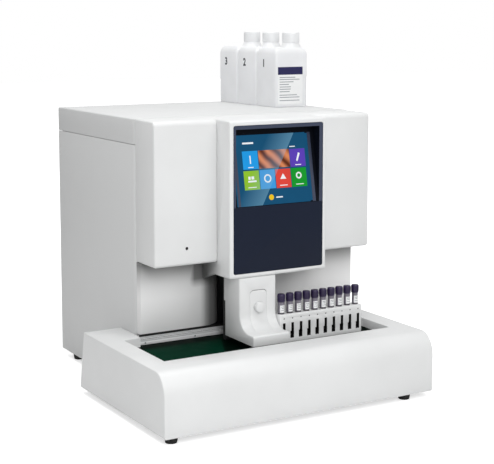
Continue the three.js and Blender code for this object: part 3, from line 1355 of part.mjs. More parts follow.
function columnOven() {
  const top = MODULE_FLOOR + OVEN_HEIGHT;
  const middle = OVEN_LEFT + OVEN_WIDTH / 2;
  const bodyRear = OVEN_FRONT + OVEN_DEPTH - FIN_DEPTH;
  const body = alongZ(
    roundedRectangle(OVEN_LEFT, OVEN_LEFT + OVEN_WIDTH, OVEN_FRONT, bodyRear, OVEN_CORNER),
    MODULE_FLOOR,
    top,
  );
  const groove = disc(OVEN_GROOVE_RADIUS, MODULE_FLOOR + OVEN_GROOVE_END, top - OVEN_GROOVE_END)
    .translate([middle, OVEN_FRONT, 0]);
  const separator = disc(OVEN_COLUMN_RADIUS, MODULE_FLOOR + OVEN_GROOVE_END / 2, top - OVEN_GROOVE_END / 2)
    .translate([middle, OVEN_FRONT + OVEN_COLUMN_RADIUS + GAP, 0]);
  const fins = Array.from({ length: FIN_COUNT }, (_, number) => {
    const x = OVEN_LEFT + (OVEN_WIDTH * (number + 1)) / (FIN_COUNT + 1);
    return block(x - FIN_THICKNESS / 2, x + FIN_THICKNESS / 2, bodyRear - OVEN_CORNER,
      OVEN_FRONT + OVEN_DEPTH, MODULE_FLOOR, top);
  });
  return joinAll([body.subtract(groove), separator, ...fins]);
}

place('column_oven', columnOven(), moduleGrey);

// Optical detector: a flow-cell block with a lens barrel and a lamp housing

const DETECTOR_HEIGHT = 60;
const DETECTOR_CORNER = 5;
const LAMP_RADIUS = 22;
const LAMP_HEIGHT = 34;
const LENS_RADIUS = 12;
const LAMP_SHARE = 0.3;

function opticalDetector() {
  const top = MODULE_FLOOR + DETECTOR_HEIGHT;
  const right = DETECTOR_LEFT + DETECTOR_WIDTH;
  const middle = DETECTOR_FRONT + DETECTOR_DEPTH / 2;
  const body = alongZ(
    roundedRectangle(DETECTOR_LEFT, right, DETECTOR_FRONT, DETECTOR_FRONT + DETECTOR_DEPTH, DETECTOR_CORNER),
    MODULE_FLOOR,
    top,
  );
  const lamp = disc(LAMP_RADIUS, MODULE_FLOOR, top + LAMP_HEIGHT)
    .translate([DETECTOR_LEFT + DETECTOR_WIDTH * LAMP_SHARE, middle, 0]);
  const lens = barX(middle, MODULE_FLOOR + DETECTOR_HEIGHT / 2, LENS_RADIUS, right - LENS_LENGTH,
    right + LENS_LENGTH, ROUND_SIDES);
  return joinAll([body, lamp, lens]);
}

place('optical_detector', opticalDetector(), moduleGrey);

// Control board on four standoffs

const BOARD_THICKNESS = 1.6;
const STANDOFF_HEIGHT = 10;
const STANDOFF_RADIUS = 4;
const STANDOFF_INSET = 8;
const CHIP_HEIGHT = 3;
const CHIP_SHARES = [[0.12, 0.3, 0.15, 0.35], [0.4, 0.52, 0.2, 0.36], [0.6, 0.7, 0.2, 0.3],
  [0.2, 0.8, 0.86, 0.94], [0.08, 0.14, 0.5, 0.8], [0.4, 0.66, 0.5, 0.72]];

function controlBoard() {
  const seat = MODULE_FLOOR + STANDOFF_HEIGHT;
  const top = seat + BOARD_THICKNESS;
  const [right, rear] = [BOARD_LEFT + BOARD_WIDTH, BOARD_FRONT + BOARD_DEPTH];
  const board = block(BOARD_LEFT, right, BOARD_FRONT, rear, seat, top);
  const corners = [BOARD_LEFT + STANDOFF_INSET, right - STANDOFF_INSET].flatMap(
    (x) => [BOARD_FRONT + STANDOFF_INSET, rear - STANDOFF_INSET].map((y) => [x, y, 0]),
  );
  const standoffs = corners.map((corner) => disc(STANDOFF_RADIUS, MODULE_FLOOR, top, SMALL_SIDES)
    .translate(corner));
  const chips = CHIP_SHARES.map(([x0, x1, y0, y1]) => block(BOARD_LEFT + BOARD_WIDTH * x0,
    BOARD_LEFT + BOARD_WIDTH * x1, BOARD_FRONT + BOARD_DEPTH * y0, BOARD_FRONT + BOARD_DEPTH * y1,
    seat, top + CHIP_HEIGHT));
  return joinAll([board, ...standoffs, ...chips]);
}

place('control_board', controlBoard(), boardGreen);

// Sampling guide behind the bay and the needle arm that rides on its rail

const GUIDE_WIDTH = 60;
const GUIDE_SETBACK = 6;
const GUIDE_THICKNESS = 6;
const GUIDE_TOP = 300;
const GUIDE_FOOT_DEPTH = 40;
const GUIDE_RAIL_WIDTH = 16;
const GUIDE_RAIL_DEPTH = 4;
const GUIDE_MOTOR = 42;
const GUIDE_MOTOR_DEPTH = 36;
const CARRIAGE_WIDTH = 30;
const CARRIAGE_FRONT_WALL = 4;
const CARRIAGE_BELOW = 15;
const CARRIAGE_ABOVE = 6;
const ARM_WIDTH = 12;
const ARM_BOTTOM = 240;
const ARM_HEIGHT = 15;
const HOLDER_RADIUS = 6;
const HOLDER_EXTRA = 3;
const NEEDLE_RADIUS = 1;
const NEEDLE_TIP = 222;
const NEEDLE_SIDES = 8;

const CARRIAGE_FRONT = WALL_FRONT + BAY_RADIUS - CARRIAGE_FRONT_WALL;
const RAIL_FRONT = CARRIAGE_FRONT + CARRIAGE_FRONT_WALL + GUIDE_SETBACK;
const GUIDE_FRONT = RAIL_FRONT + GUIDE_RAIL_DEPTH;
const NEEDLE_Y = TUBE_Y + RACK_TRAVEL;

function samplingGuide() {
  const left = COLUMN_CENTRE - GUIDE_WIDTH / 2;
  const right = COLUMN_CENTRE + GUIDE_WIDTH / 2;
  const back = GUIDE_FRONT + GUIDE_THICKNESS;
  const upright = block(left, right, GUIDE_FRONT, back, MODULE_FLOOR, GUIDE_TOP);
  const base = block(left, right, GUIDE_FRONT, GUIDE_FRONT + GUIDE_FOOT_DEPTH, MODULE_FLOOR,
    MODULE_FLOOR + GUIDE_THICKNESS);
  const rail = block(COLUMN_CENTRE - GUIDE_RAIL_WIDTH / 2, COLUMN_CENTRE + GUIDE_RAIL_WIDTH / 2,
    RAIL_FRONT, back, MODULE_FLOOR, GUIDE_TOP);
  const motor = block(COLUMN_CENTRE - GUIDE_MOTOR / 2, COLUMN_CENTRE + GUIDE_MOTOR / 2, GUIDE_FRONT,
    back + GUIDE_MOTOR_DEPTH, GUIDE_TOP - GUIDE_MOTOR, GUIDE_TOP);
  return joinAll([upright, base, rail, motor]);
}

function needleArm() {
  const armTop = ARM_BOTTOM + ARM_HEIGHT;
  const carriage = block(COLUMN_CENTRE - CARRIAGE_WIDTH / 2, COLUMN_CENTRE + CARRIAGE_WIDTH / 2,
    CARRIAGE_FRONT, GUIDE_FRONT - GAP, ARM_BOTTOM - CARRIAGE_BELOW, armTop + CARRIAGE_ABOVE);
  const channel = block(COLUMN_CENTRE - GUIDE_RAIL_WIDTH / 2 - GAP, COLUMN_CENTRE + GUIDE_RAIL_WIDTH / 2 + GAP,
    RAIL_FRONT - GAP, CASE_REAR, 0, CASE_TOP);
  const bar = block(COLUMN_CENTRE - ARM_WIDTH / 2, COLUMN_CENTRE + ARM_WIDTH / 2, NEEDLE_Y,
    CARRIAGE_FRONT + CARRIAGE_FRONT_WALL, ARM_BOTTOM, armTop);
  const holder = disc(HOLDER_RADIUS, ARM_BOTTOM - HOLDER_EXTRA, armTop + HOLDER_EXTRA)
    .translate([COLUMN_CENTRE, NEEDLE_Y, 0]);
  const needle = disc(NEEDLE_RADIUS, NEEDLE_TIP, armTop, NEEDLE_SIDES).translate([COLUMN_CENTRE, NEEDLE_Y, 0]);
  return joinAll([carriage.subtract(channel), bar, holder, needle]);
}

place('sampling_guide', samplingGuide(), anodised);
place('needle_arm', needleArm(), steel);

analyzer.position.set(-TRAY_WIDTH / 2, -CASE_REAR / 2, 0);

export default analyzer;
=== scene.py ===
import json
import math

import bmesh
import bpy
from mathutils import Matrix, Vector

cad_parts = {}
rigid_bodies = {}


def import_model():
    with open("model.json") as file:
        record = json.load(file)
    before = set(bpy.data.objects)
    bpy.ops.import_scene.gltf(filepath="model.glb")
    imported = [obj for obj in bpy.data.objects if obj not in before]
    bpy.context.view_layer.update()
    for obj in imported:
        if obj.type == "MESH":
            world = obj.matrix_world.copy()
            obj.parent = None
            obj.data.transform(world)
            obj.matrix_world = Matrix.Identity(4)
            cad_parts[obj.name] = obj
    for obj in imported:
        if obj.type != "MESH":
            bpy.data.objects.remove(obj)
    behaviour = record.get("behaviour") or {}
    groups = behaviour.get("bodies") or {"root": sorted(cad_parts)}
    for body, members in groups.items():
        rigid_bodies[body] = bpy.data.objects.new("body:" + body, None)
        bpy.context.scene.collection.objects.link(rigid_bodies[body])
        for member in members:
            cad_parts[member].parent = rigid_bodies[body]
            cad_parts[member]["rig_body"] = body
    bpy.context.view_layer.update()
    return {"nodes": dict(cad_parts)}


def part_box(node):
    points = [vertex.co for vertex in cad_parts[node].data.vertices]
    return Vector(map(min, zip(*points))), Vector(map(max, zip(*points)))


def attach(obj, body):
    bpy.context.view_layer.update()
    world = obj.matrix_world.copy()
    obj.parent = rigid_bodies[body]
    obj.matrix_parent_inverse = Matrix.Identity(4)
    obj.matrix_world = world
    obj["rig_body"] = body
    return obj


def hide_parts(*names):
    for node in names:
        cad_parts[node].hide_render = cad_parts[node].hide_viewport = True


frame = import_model()

bl_info = {
    "name": "Bench-top glycated hemoglobin analyzer",
    "version": (1, 0, 0),
    "blender": (4, 5, 0),
    "location": "3D View > Sidebar > Analyzer",
    "description": "Finishes and fine details for a bench-top glycated hemoglobin analyzer",
    "category": "Object",
}

# Places are written in millimetres from the tray's front left corner, X to the
# right, Y to the back and Z up from the bench, and turned to the frame's metres.
TRAY_CORNER = Vector((302.0, 340.5, 0.0))
MM = 0.001

# The display panel's face and its window, as in the CAD part.
PANEL_FACE = 158.2
WINDOW_LEFT, WINDOW_RIGHT = 237.7, 431.0
WINDOW_LOW, WINDOW_HIGH = 391.0, 543.5
# The screen leans back about the lower edge of its window.
SCREEN_FOOT = 159.0
SCREEN_LEAN = math.radians(10.5)


def spot(x, y, z):
    return (Vector((x, y, z)) - TRAY_CORNER) * MM


# Colours and nodes


def hex_colour(text):
    channels = [int(text[i : i + 2], 16) / 255 for i in (1, 3, 5)]
    linear = [c / 12.92 if c <= 0.04045 else ((c + 0.055) / 1.055) ** 2.4 for c in channels]
    return (*linear, 1.0)


def shade(colour, share):
    return (*[c * share for c in colour[:3]], 1.0)


def add_node(tree, kind, settings=None, values=None, links=None):
    node = tree.nodes.new(kind)
    for name, value in (settings or {}).items():
        setattr(node, name, value)
    for name, value in (values or {}).items():
        node.inputs[name].default_value = value
    for name, socket in (links or {}).items():
        tree.links.new(socket, node.inputs[name])
    return node


def math_of(tree, operation, *terms, clamp=False):
    """A Math node whose terms are numbers or sockets."""
    node = add_node(tree, "ShaderNodeMath", settings={"operation": operation, "use_clamp": clamp})
    for index, term in enumerate(terms):
        if isinstance(term, bpy.types.NodeSocket):
            tree.links.new(term, node.inputs[index])
        else:
            node.inputs[index].default_value = term
    return node.outputs["Value"]


def remapped(tree, value, start, end, low=0.0, high=1.0):
    """From low at start to high at end; past both it stays."""
    reach = {"From Min": start, "From Max": end, "To Min": low, "To Max": high}
    return add_node(tree, "ShaderNodeMapRange", values=reach, links={"Value": value}).outputs["Result"]


def fall(tree, coords, axis, start, end):
    """From 0 at one place along an axis to 1 at another, both in millimetres as spots are."""
    value = add_node(tree, "ShaderNodeSeparateXYZ", links={"Vector": coords}).outputs[axis]
    corner = TRAY_CORNER["XYZ".index(axis)]
    return remapped(tree, value, (start - corner) * MM, (end - corner) * MM)


def slanted(tree, coords, axis, slope):
    """X plus a slope times another axis: even along lines that lean in the picture."""
    place = add_node(tree, "ShaderNodeSeparateXYZ", links={"Vector": coords})
    return math_of(tree, "MULTIPLY_ADD", place.outputs[axis], slope, place.outputs["X"])


def toned(tree, fac, stops):
    """A colour by fac; stops are pairs of position and colour."""
    ramp = add_node(tree, "ShaderNodeValToRGB", links={"Fac": fac})
    marks = ramp.color_ramp.elements
    while len(marks) < len(stops):
        marks.new(1.0)
    for mark, (position, colour) in zip(marks, stops):
        mark.position, mark.color = position, colour
    return ramp.outputs["Color"]


def blended(tree, fac, tone, colour):
    """A tone that gives way to an even colour as fac rises."""
    mix = add_node(tree, "ShaderNodeMix", settings={"data_type": "RGBA"})
    fac_input, tone_input, colour_input, result = mix.inputs[0], mix.inputs[6], mix.inputs[7], mix.outputs[2]
    tree.links.new(fac, fac_input)
    tree.links.new(tone, tone_input)
    colour_input.default_value = colour
    return result


def noise_of(tree, coords, values):
    """The even noise that drifts of tone, gloss and grain are made from."""
    return add_node(tree, "ShaderNodeTexNoise", values=values, links={"Vector": coords}).outputs["Fac"]


def two_tone(tree, coords, scale, dark, light, low=0.35, high=0.65):
    return toned(tree, noise_of(tree, coords, {"Scale": scale, "Detail": 3.0}), [(low, dark), (high, light)])


def spread(tree, coords, scale, low, high):
    """A value that drifts between two limits."""
    return remapped(tree, noise_of(tree, coords, {"Scale": scale, "Detail": 2.0}), 0.3, 0.7, low, high)


def grain_bump(tree, coords, size_mm, strength, depth_mm):
    height = noise_of(tree, coords, {"Scale": 1 / (size_mm * MM), "Detail": 2.0, "Roughness": 0.6})
    values = {"Strength": strength, "Distance": depth_mm * MM}
    return add_node(tree, "ShaderNodeBump", values=values, links={"Height": height}).outputs["Normal"]


# Materials


def new_material(name):
    """A material with an empty tree, and its Object coordinates."""
    material = bpy.data.materials.new(name)
    material.use_nodes = True
    tree = material.node_tree
    tree.nodes.clear()
    return material, tree, add_node(tree, "ShaderNodeTexCoord").outputs["Object"]


def close_material(tree, values, links):
    surface = add_node(tree, "ShaderNodeBsdfPrincipled", values=values, links=links)
    add_node(tree, "ShaderNodeOutputMaterial", links={"Surface": surface.outputs["BSDF"]})


# Injection-moulded ABS with a fine spark-eroded texture: an even satin surface
# whose tone drifts a little over hand-sized areas. The texture is 0.3 mm on the
# real part and drawn at 1.4 mm, so that it shows.
def moulded_abs(name, colour, roughness=0.42, grain_mm=1.4, strength=0.05):
    material, tree, coords = new_material(name)
    tone = two_tone(tree, coords, 9.0, shade(colour, 0.965), colour)
    rough = spread(tree, coords, 40.0, roughness - 0.04, roughness + 0.05)
    normal = grain_bump(tree, coords, grain_mm, strength, 0.12)
    links = {"Base Color": tone, "Roughness": rough, "Normal": normal}
    close_material(tree, {"IOR": 1.53, "Specular IOR Level": 0.45}, links)
    return material


# Polyester powder coat baked on folded steel: slight orange peel about 2 mm
# across and a fine speckle.
def powder_coat(name, colour):
    material, tree, coords = new_material(name)
    tone = two_tone(tree, coords, 900.0, shade(colour, 0.95), colour, 0.3, 0.6)
    rough = spread(tree, coords, 14.0, 0.42, 0.54)
    normal = grain_bump(tree, coords, 2.2, 0.12, 0.15)
    links = {"Base Color": tone, "Roughness": rough, "Normal": normal}
    close_material(tree, {"IOR": 1.5, "Coat Weight": 0.08, "Coat Roughness": 0.35}, links)
    return material


# Back-painted polycarbonate: a deep colour under a glossy face with a few
# wiping marks in the gloss.
def painted_glossy_sheet(name, colour, roughness, shine):
    material, tree, coords = new_material(name)
    tone = two_tone(tree, coords, 6.0, shade(colour, 0.96), colour)
    rough = spread(tree, coords, 9.0, roughness * 0.92, roughness * 1.08)
    close_material(tree, {"IOR": 1.58, "Specular IOR Level": shine}, {"Base Color": tone, "Roughness": rough})
    return material


# White shell of the bay's back, with painted shade: a painted shadow under the head and beside the
# display, and painted shade that falls to dark where the panel curls back beside the column.
def bay_shell(name, colour):
    material, tree, coords = new_material(name)
    left_of_column = fall(tree, coords, "X", 314, 294)
    curl = math_of(tree, "MULTIPLY", fall(tree, coords, "X", 219, 272), left_of_column)
    shares = ((0.0, 1.0), (0.09, 0.82), (0.25, 0.42), (0.45, 0.2), (1.0, 0.12))
    curl_painted_shade = toned(tree, curl, [(position, shade(colour, share)) for position, share in shares])
    display = math_of(tree, "MULTIPLY", fall(tree, coords, "X", 190, 206), fall(tree, coords, "Z", 214, 234))
    display = math_of(tree, "MULTIPLY", display, left_of_column)
    under_head = math_of(tree, "MULTIPLY", fall(tree, coords, "Z", 180, 272), fall(tree, coords, "Z", 200, 272))
    cover = math_of(tree, "MULTIPLY", math_of(tree, "MAXIMUM", display, under_head), 0.84)
    close_material(tree, {"Roughness": 0.5}, {"Base Color": blended(tree, cover, curl_painted_shade, shade(colour, 0.06))})
    return material


# White shell of the display housing, with painted shade: its cheeks darken towards the back, below the head.
def housing_shell(name, colour):
    material, tree, coords = new_material(name)
    back = math_of(tree, "MULTIPLY", fall(tree, coords, "Y", 190.5, 270.5), fall(tree, coords, "Z", 285, 272))
    tone = toned(tree, back, [(0.0, colour), (0.47, shade(colour, 0.46)), (0.77, shade(colour, 0.18))])
    close_material(tree, {"Roughness": 0.42}, {"Base Color": tone})
    return material


# Green coated plate with painted reflection of the dark bay at the back and
# painted shade of the column on the right, both drawn as a fall to black.
def dark_plate(name, colour):
    material, tree, coords = new_material(name)
    start, edge = -0.008, -0.003
    painted_column_shade = remapped(tree, slanted(tree, coords, "Y", -0.47), start, edge)
    dark = math_of(tree, "MAXIMUM", painted_column_shade, fall(tree, coords, "Y", 228.5, 250.5))
    tone = toned(tree, dark, [(0.0, colour), (1.0, shade(colour, 0.15))])
    rough = spread(tree, coords, 30.0, 0.5, 0.6)
    close_material(tree, {"IOR": 1.3, "Specular IOR Level": 0.03}, {"Base Color": tone, "Roughness": rough})
    return material


# Drawn metal bar or sheet: fine lines along X, 0.1 mm apart on the real piece
# and drawn at 0.8 mm. Under a blasted and anodised skin the metal shows in part.
def lined_metal(name, colour, roughness, metallic):
    material, tree, coords = new_material(name)
    stretched = add_node(tree, "ShaderNodeMapping", values={"Scale": (12.0, 1250.0, 1250.0)}, links={"Vector": coords})
    lines = stretched.outputs["Vector"]
    tone = two_tone(tree, lines, 1.0, shade(colour, 0.82), colour)
    rough = spread(tree, lines, 1.0, roughness - 0.06, roughness + 0.08)
    close_material(tree, {"Metallic": metallic}, {"Base Color": tone, "Roughness": rough})
    return material


# Moulded nitrile rubber: matt black with a bloom of lighter dust.
def moulded_rubber(name, colour):
    material, tree, coords = new_material(name)
    tone = two_tone(tree, coords, 160.0, colour, hex_colour("#2b2b2b"), 0.45, 0.8)
    normal = grain_bump(tree, coords, 0.9, 0.15, 0.1)
    close_material(tree, {"Roughness": 0.82, "IOR": 1.52}, {"Base Color": tone, "Normal": normal})
    return material


# Blow-moulded HDPE, natural: milky and waxy, with light passing into the wall,
# and a painted glow, an emission that stands in for light shining through from behind.
def milky_hdpe(name, colour):
    material, tree, coords = new_material(name)
    tone = two_tone(tree, coords, 18.0, shade(colour, 0.6), shade(colour, 0.63))
    rough = spread(tree, coords, 30.0, 0.34, 0.44)
    values = {
        "IOR": 1.54,
        "Subsurface Weight": 0.3,
        "Subsurface Radius": (0.004, 0.004, 0.005),
        "Subsurface Scale": 1.0,
        "Emission Strength": 0.5,
    }
    normal = grain_bump(tree, coords, 3.0, 0.08, 0.2)
    close_material(tree, values, {"Base Color": tone, "Roughness": rough, "Normal": normal, "Emission Color": tone})
    return material


# Clear PET sample tube: glossy and greyish where it is empty, with dark blood in
# the part that stands in the rack.
def sample_tube(name, clear, blood):
    material, tree, coords = new_material(name)
    tone = toned(tree, fall(tree, coords, "Z", 170, 173), [(0.0, blood), (1.0, clear)])
    rough = spread(tree, coords, 200.0, 0.08, 0.2)
    values = {"IOR": 1.57, "Coat Weight": 0.4, "Coat Roughness": 0.05}
    close_material(tree, values, {"Base Color": tone, "Roughness": rough})
    return material


# A painted glare across the screen's cover, from its top edge down to the left:
# a straight edge on the right, fading out to the left.
def gleam(tree, coords, tone, gloss):
    start, edge = -0.31, -0.2496
    lean = slanted(tree, coords, "Z", -0.63)
    fade = remapped(tree, lean, start, edge, 0.0, gloss)
    share = math_of(tree, "MULTIPLY", fade, math_of(tree, "LESS_THAN", lean, edge))
    return blended(tree, share, tone, hex_colour("#7fb6d2"))


def close_lit(tree, coords, tone, base, gloss):
    """A lit area of the screen shines by itself under a clear cover, with a painted glare laid over it."""
    values = {"Base Color": base, "Roughness": 0.3, "Specular IOR Level": 0.1, "Emission Strength": 0.92}
    close_material(tree, values, {"Emission Color": gleam(tree, coords, tone, gloss)})


# gloss sets how strongly the painted glare shows on this lit colour.
def lit_colour(name, colour, gloss=0.3):
    material, tree, coords = new_material(name)
    close_lit(tree, coords, two_tone(tree, coords, 24.0, shade(colour, 0.92), colour), shade(colour, 0.06), gloss)
    return material


# The picture on the wide tile: plain warm folds, running from orange to brown.
def lit_picture(name, bright, deep):
    material, tree, coords = new_material(name)
    turned = add_node(tree, "ShaderNodeMapping", values={"Rotation": (0.0, 0.6, 0.0)}, links={"Vector": coords})
    folds = {"Scale": 14.0, "Distortion": 5.0, "Detail": 2.0}
    waves = add_node(tree, "ShaderNodeTexWave", values=folds, links={"Vector": turned.outputs["Vector"]})
    close_lit(tree, coords, toned(tree, waves.outputs["Fac"], [(0.0, deep), (1.0, bright)]), shade(deep, 0.1), 0.3)
    return material


# Matt paper label with faint fibre mottling.
def label_paper(name, colour):
    material, tree, coords = new_material(name)
    tone = two_tone(tree, coords, 700.0, shade(colour, 0.96), colour)
    close_material(tree, {"Roughness": 0.6}, {"Base Color": tone})
    return material


MATERIALS = {}


def make_materials(finish):
    shell = (*finish.shell_colour, 1.0)
    sheet = (*finish.sheet_colour, 1.0)
    navy = (*finish.panel_colour, 1.0)
    MATERIALS.update(
        shell=moulded_abs("moulded_abs_white", shell),
        sheet=powder_coat("powder_coat_light_grey", sheet),
        panel=painted_glossy_sheet("back_painted_polycarbonate_navy", navy, 0.3, 0.1),
        window=painted_glossy_sheet("display_window_black", hex_colour("#0b0e16"), 0.3, 0.04),
        screen=lit_colour("lcd_deep_blue", hex_colour("#0e4f74"), 0.4),
        rubber=moulded_rubber("nitrile_rubber_black", hex_colour("#141414")),
        plate=dark_plate("gloss_acrylic_dark_green", hex_colour("#032c1e")),
        rail=lined_metal("anodised_aluminium_clear", hex_colour("#eff0f1"), 0.5, 0.12),
        steel=lined_metal("zinc_plated_steel", hex_colour("#9a9d9f"), 0.38, 1.0),
        rack=moulded_abs("moulded_polyacetal_white", hex_colour("#eff0f0"), 0.45, 1.0, 0.04),
        tube=sample_tube("pet_tube_clear", hex_colour("#77727f"), hex_colour("#14070a")),
        cap=moulded_abs("moulded_polypropylene_purple", hex_colour("#25183f"), 0.4, 0.8, 0.08),
        bottle=milky_hdpe("blow_moulded_hdpe_natural", hex_colour("#f1f2f3")),
        bottle_cap=moulded_abs("moulded_polypropylene_white", hex_colour("#f0f1f2"), 0.4, 0.8, 0.04),
        black=moulded_abs("moulded_nylon_black", hex_colour("#1b1c1e"), 0.5, 0.8, 0.08),
        dark=moulded_abs("black_lens", hex_colour("#0c0c0e"), 0.25, 0.8, 0.02),
        board=painted_glossy_sheet("solder_mask_green", hex_colour("#1f5a3a"), 0.3, 0.4),
        module=powder_coat("enamelled_steel_grey", hex_colour("#8d9195")),
        # A flat black that paints shade: in the rack's bores, in the gap above the rail, in a groove of the rail and
        # behind the column.
        shadow=moulded_abs("painted_shade_black", hex_colour("#0b0b0d"), 0.6, 0.8, 0.02),
        window_trim=painted_glossy_sheet("window_edge_slate", hex_colour("#3b4256"), 0.25, 0.3),
        # The bay's white is a lighter copy of the mouldings' white: painted light in the recess under the head.
        bay=bay_shell("shell_bay_painted_shade", hex_colour("#f6f6f6")),
        housing=housing_shell("shell_housing_painted_shade", shell),
        guide=lined_metal("anodised_aluminium_black", hex_colour("#26282b"), 0.45, 0.6),
        paper=label_paper("label_paper_white", hex_colour("#f4f5f5")),
        ink=label_paper("label_ink_navy", hex_colour("#0a0848")),
        grey_ink=label_paper("label_ink_grey", hex_colour("#8c8f96")),
        numeral=label_paper("numeral_ink_charcoal", hex_colour("#2c2e34")),
        blue=lit_colour("lit_sky_blue", hex_colour("#1e9be6")),
        picture=lit_picture("lit_warm_picture", hex_colour("#e08a5c"), hex_colour("#5c2712")),
        purple=lit_colour("lit_violet", hex_colour("#5b3fb5")),
        lime=lit_colour("lit_lime", hex_colour("#8fc32e")),
        pale_blue=lit_colour("lit_pale_blue", hex_colour("#3f9be0")),
        red=lit_colour("lit_coral_red", hex_colour("#e0463c")),
        green=lit_colour("lit_green", hex_colour("#119a2c")),
        yellow=lit_colour("lit_yellow", hex_colour("#f2c81e")),
        white=lit_colour("lit_white", hex_colour("#f4f7fb")),
    )


# Pieces


def add_piece(name, mesh, body, keys):
    """A piece that rides a body, with the materials of these keys in order."""
    piece = bpy.data.objects.new(name, mesh)
    bpy.context.scene.collection.objects.link(piece)
    # Even on an empty list, clear() sets the material index of every face back to 0.
    if len(mesh.materials) > 0:
        mesh.materials.clear()
    for key in keys:
        mesh.materials.append(MATERIALS[key])
    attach(piece, body)
    return piece


def plain_mesh(name, work):
    mesh = bpy.data.meshes.new(name)
    work.to_mesh(mesh)
    work.free()
    return mesh


def add_work(name, work, body, keys):
    return add_piece(name, plain_mesh(name, work), body, keys)


def baked(piece):
    """The piece's mesh with its modifiers applied."""
    bpy.context.view_layer.update()
    graph = bpy.context.evaluated_depsgraph_get()
    old = piece.data
    piece.data = bpy.data.meshes.new_from_object(piece.evaluated_get(graph))
    piece.modifiers.clear()
    bpy.data.meshes.remove(old)
    return piece


def paint(node, key):
    """A CAD node that keeps its own shape gets a material."""
    slots = frame["nodes"][node].data.materials
    slots.clear()
    slots.append(MATERIALS[key])


def dress(node, key, width_mm=0.5, smooth_deg=32.0):
    """A copy of a CAD node with its edges broken and its curves shaded smooth stands for the node."""
    source = frame["nodes"][node]
    work = bmesh.new()
    work.from_mesh(source.data)
    bmesh.ops.remove_doubles(work, verts=work.verts, dist=0.00002)
    bmesh.ops.dissolve_limit(work, angle_limit=math.radians(0.6), verts=work.verts, edges=work.edges)
    mesh = plain_mesh(node + "_finished", work)
    piece = add_piece(node + "_finished", mesh, source["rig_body"], [key])
    if width_mm > 0:
        bevel = piece.modifiers.new("Broken edges", "BEVEL")
        bevel.limit_method = "ANGLE"
        bevel.angle_limit = math.radians(smooth_deg)
        bevel.width = width_mm * MM
        bevel.segments = 2
        bevel.use_clamp_overlap = True
        baked(piece)
    shade_by_angle(piece.data, smooth_deg)
    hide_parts(node)
    return piece


def shade_by_angle(mesh, degrees):
    mesh.polygons.foreach_set("use_smooth", [True] * len(mesh.polygons))
    mesh.set_sharp_from_angle(angle=math.radians(degrees))


def slab(work, low, high, material_index=0):
    """A box between two corners given as spots."""
    made = bmesh.ops.create_cube(work, size=1.0)["verts"]
    size = high - low
    middle = (high + low) / 2
    bmesh.ops.scale(work, vec=size, verts=made)
    bmesh.ops.translate(work, vec=middle, verts=made)
    for face in {f for v in made for f in v.link_faces}:
        face.material_index = material_index


def disc(work, centre, axis, radius_mm, thickness_mm, sides=24, material_index=0, inner_mm=0.0):
    """A flat round piece, or a ring where an inner radius is given, centred on a spot."""
    turn = Vector((0, 0, 1)).rotation_difference(Vector(axis)).to_matrix()
    half = thickness_mm * MM / 2
    rings = [(radius_mm, -half), (radius_mm, half)]
    if inner_mm > 0:
        rings += [(inner_mm, half), (inner_mm, -half)]
    loops = []
    for radius, height in rings:
        angles = [math.tau * i / sides for i in range(sides)]
        points = [Vector((radius * MM * math.cos(angle), radius * MM * math.sin(angle), height)) for angle in angles]
        loops.append([work.verts.new(centre + turn @ p) for p in points])
    faces = []
    count = len(loops)
    for k in range(count if inner_mm > 0 else 1):
        a, b = loops[k], loops[(k + 1) % count]
        for i in range(sides):
            j = (i + 1) % sides
            faces.append(work.faces.new((a[i], a[j], b[j], b[i])))
    if inner_mm <= 0:
        faces.append(work.faces.new(list(reversed(loops[0]))))
        faces.append(work.faces.new(loops[1]))
    for face in faces:
        face.material_index = material_index


def prism(work, outline, y_front, y_rear, material_index=0):
    """A flat shape in the XZ plane, given as spots' x and z in millimetres."""
    front = [work.verts.new(spot(x, y_front, z)) for x, z in outline]
    rear = [work.verts.new(spot(x, y_rear, z)) for x, z in outline]
    count = len(outline)
    faces = [work.faces.new(front), work.faces.new(list(reversed(rear)))]
    for i in range(count):
        j = (i + 1) % count
        faces.append(work.faces.new((front[j], front[i], rear[i], rear[j])))
    for face in faces:
        face.material_index = material_index


def wrap(work, columns):
    """Closes a bent strip; a column has its outer low, outer high, inner low and inner high corner."""
    faces = []
    for a, b in zip(columns, columns[1:]):
        for i, j in ((0, 1), (1, 3), (3, 2), (2, 0)):
            faces.append(work.faces.new((a[i], b[i], b[j], a[j])))
    for end, turn in ((columns[0], 1), (columns[-1], -1)):
        faces.append(work.faces.new([end[i] for i in (0, 1, 3, 2)[::turn]]))
    return faces


# Geometry Nodes trees


def start_tree(name, inputs):
    tree = bpy.data.node_groups.new(name, "GeometryNodeTree")
    sockets = {}
    for label, kind, default in inputs:
        socket = tree.interface.new_socket(label, in_out="INPUT", socket_type=kind)
        if default is not None:
            socket.default_value = default
        sockets[label] = socket.identifier
    tree.interface.new_socket("Geometry", in_out="OUTPUT", socket_type="NodeSocketGeometry")
    start = tree.nodes.new("NodeGroupInput")
    return tree, start.outputs, sockets


def close_tree(tree, geometry, material):
    real = add_node(tree, "GeometryNodeRealizeInstances", links={"Geometry": geometry})
    painted = add_node(
        tree, "GeometryNodeSetMaterial", links={"Geometry": real.outputs["Geometry"], "Material": material}
    )
    end = tree.nodes.new("NodeGroupOutput")
    tree.links.new(painted.outputs["Geometry"], end.inputs["Geometry"])


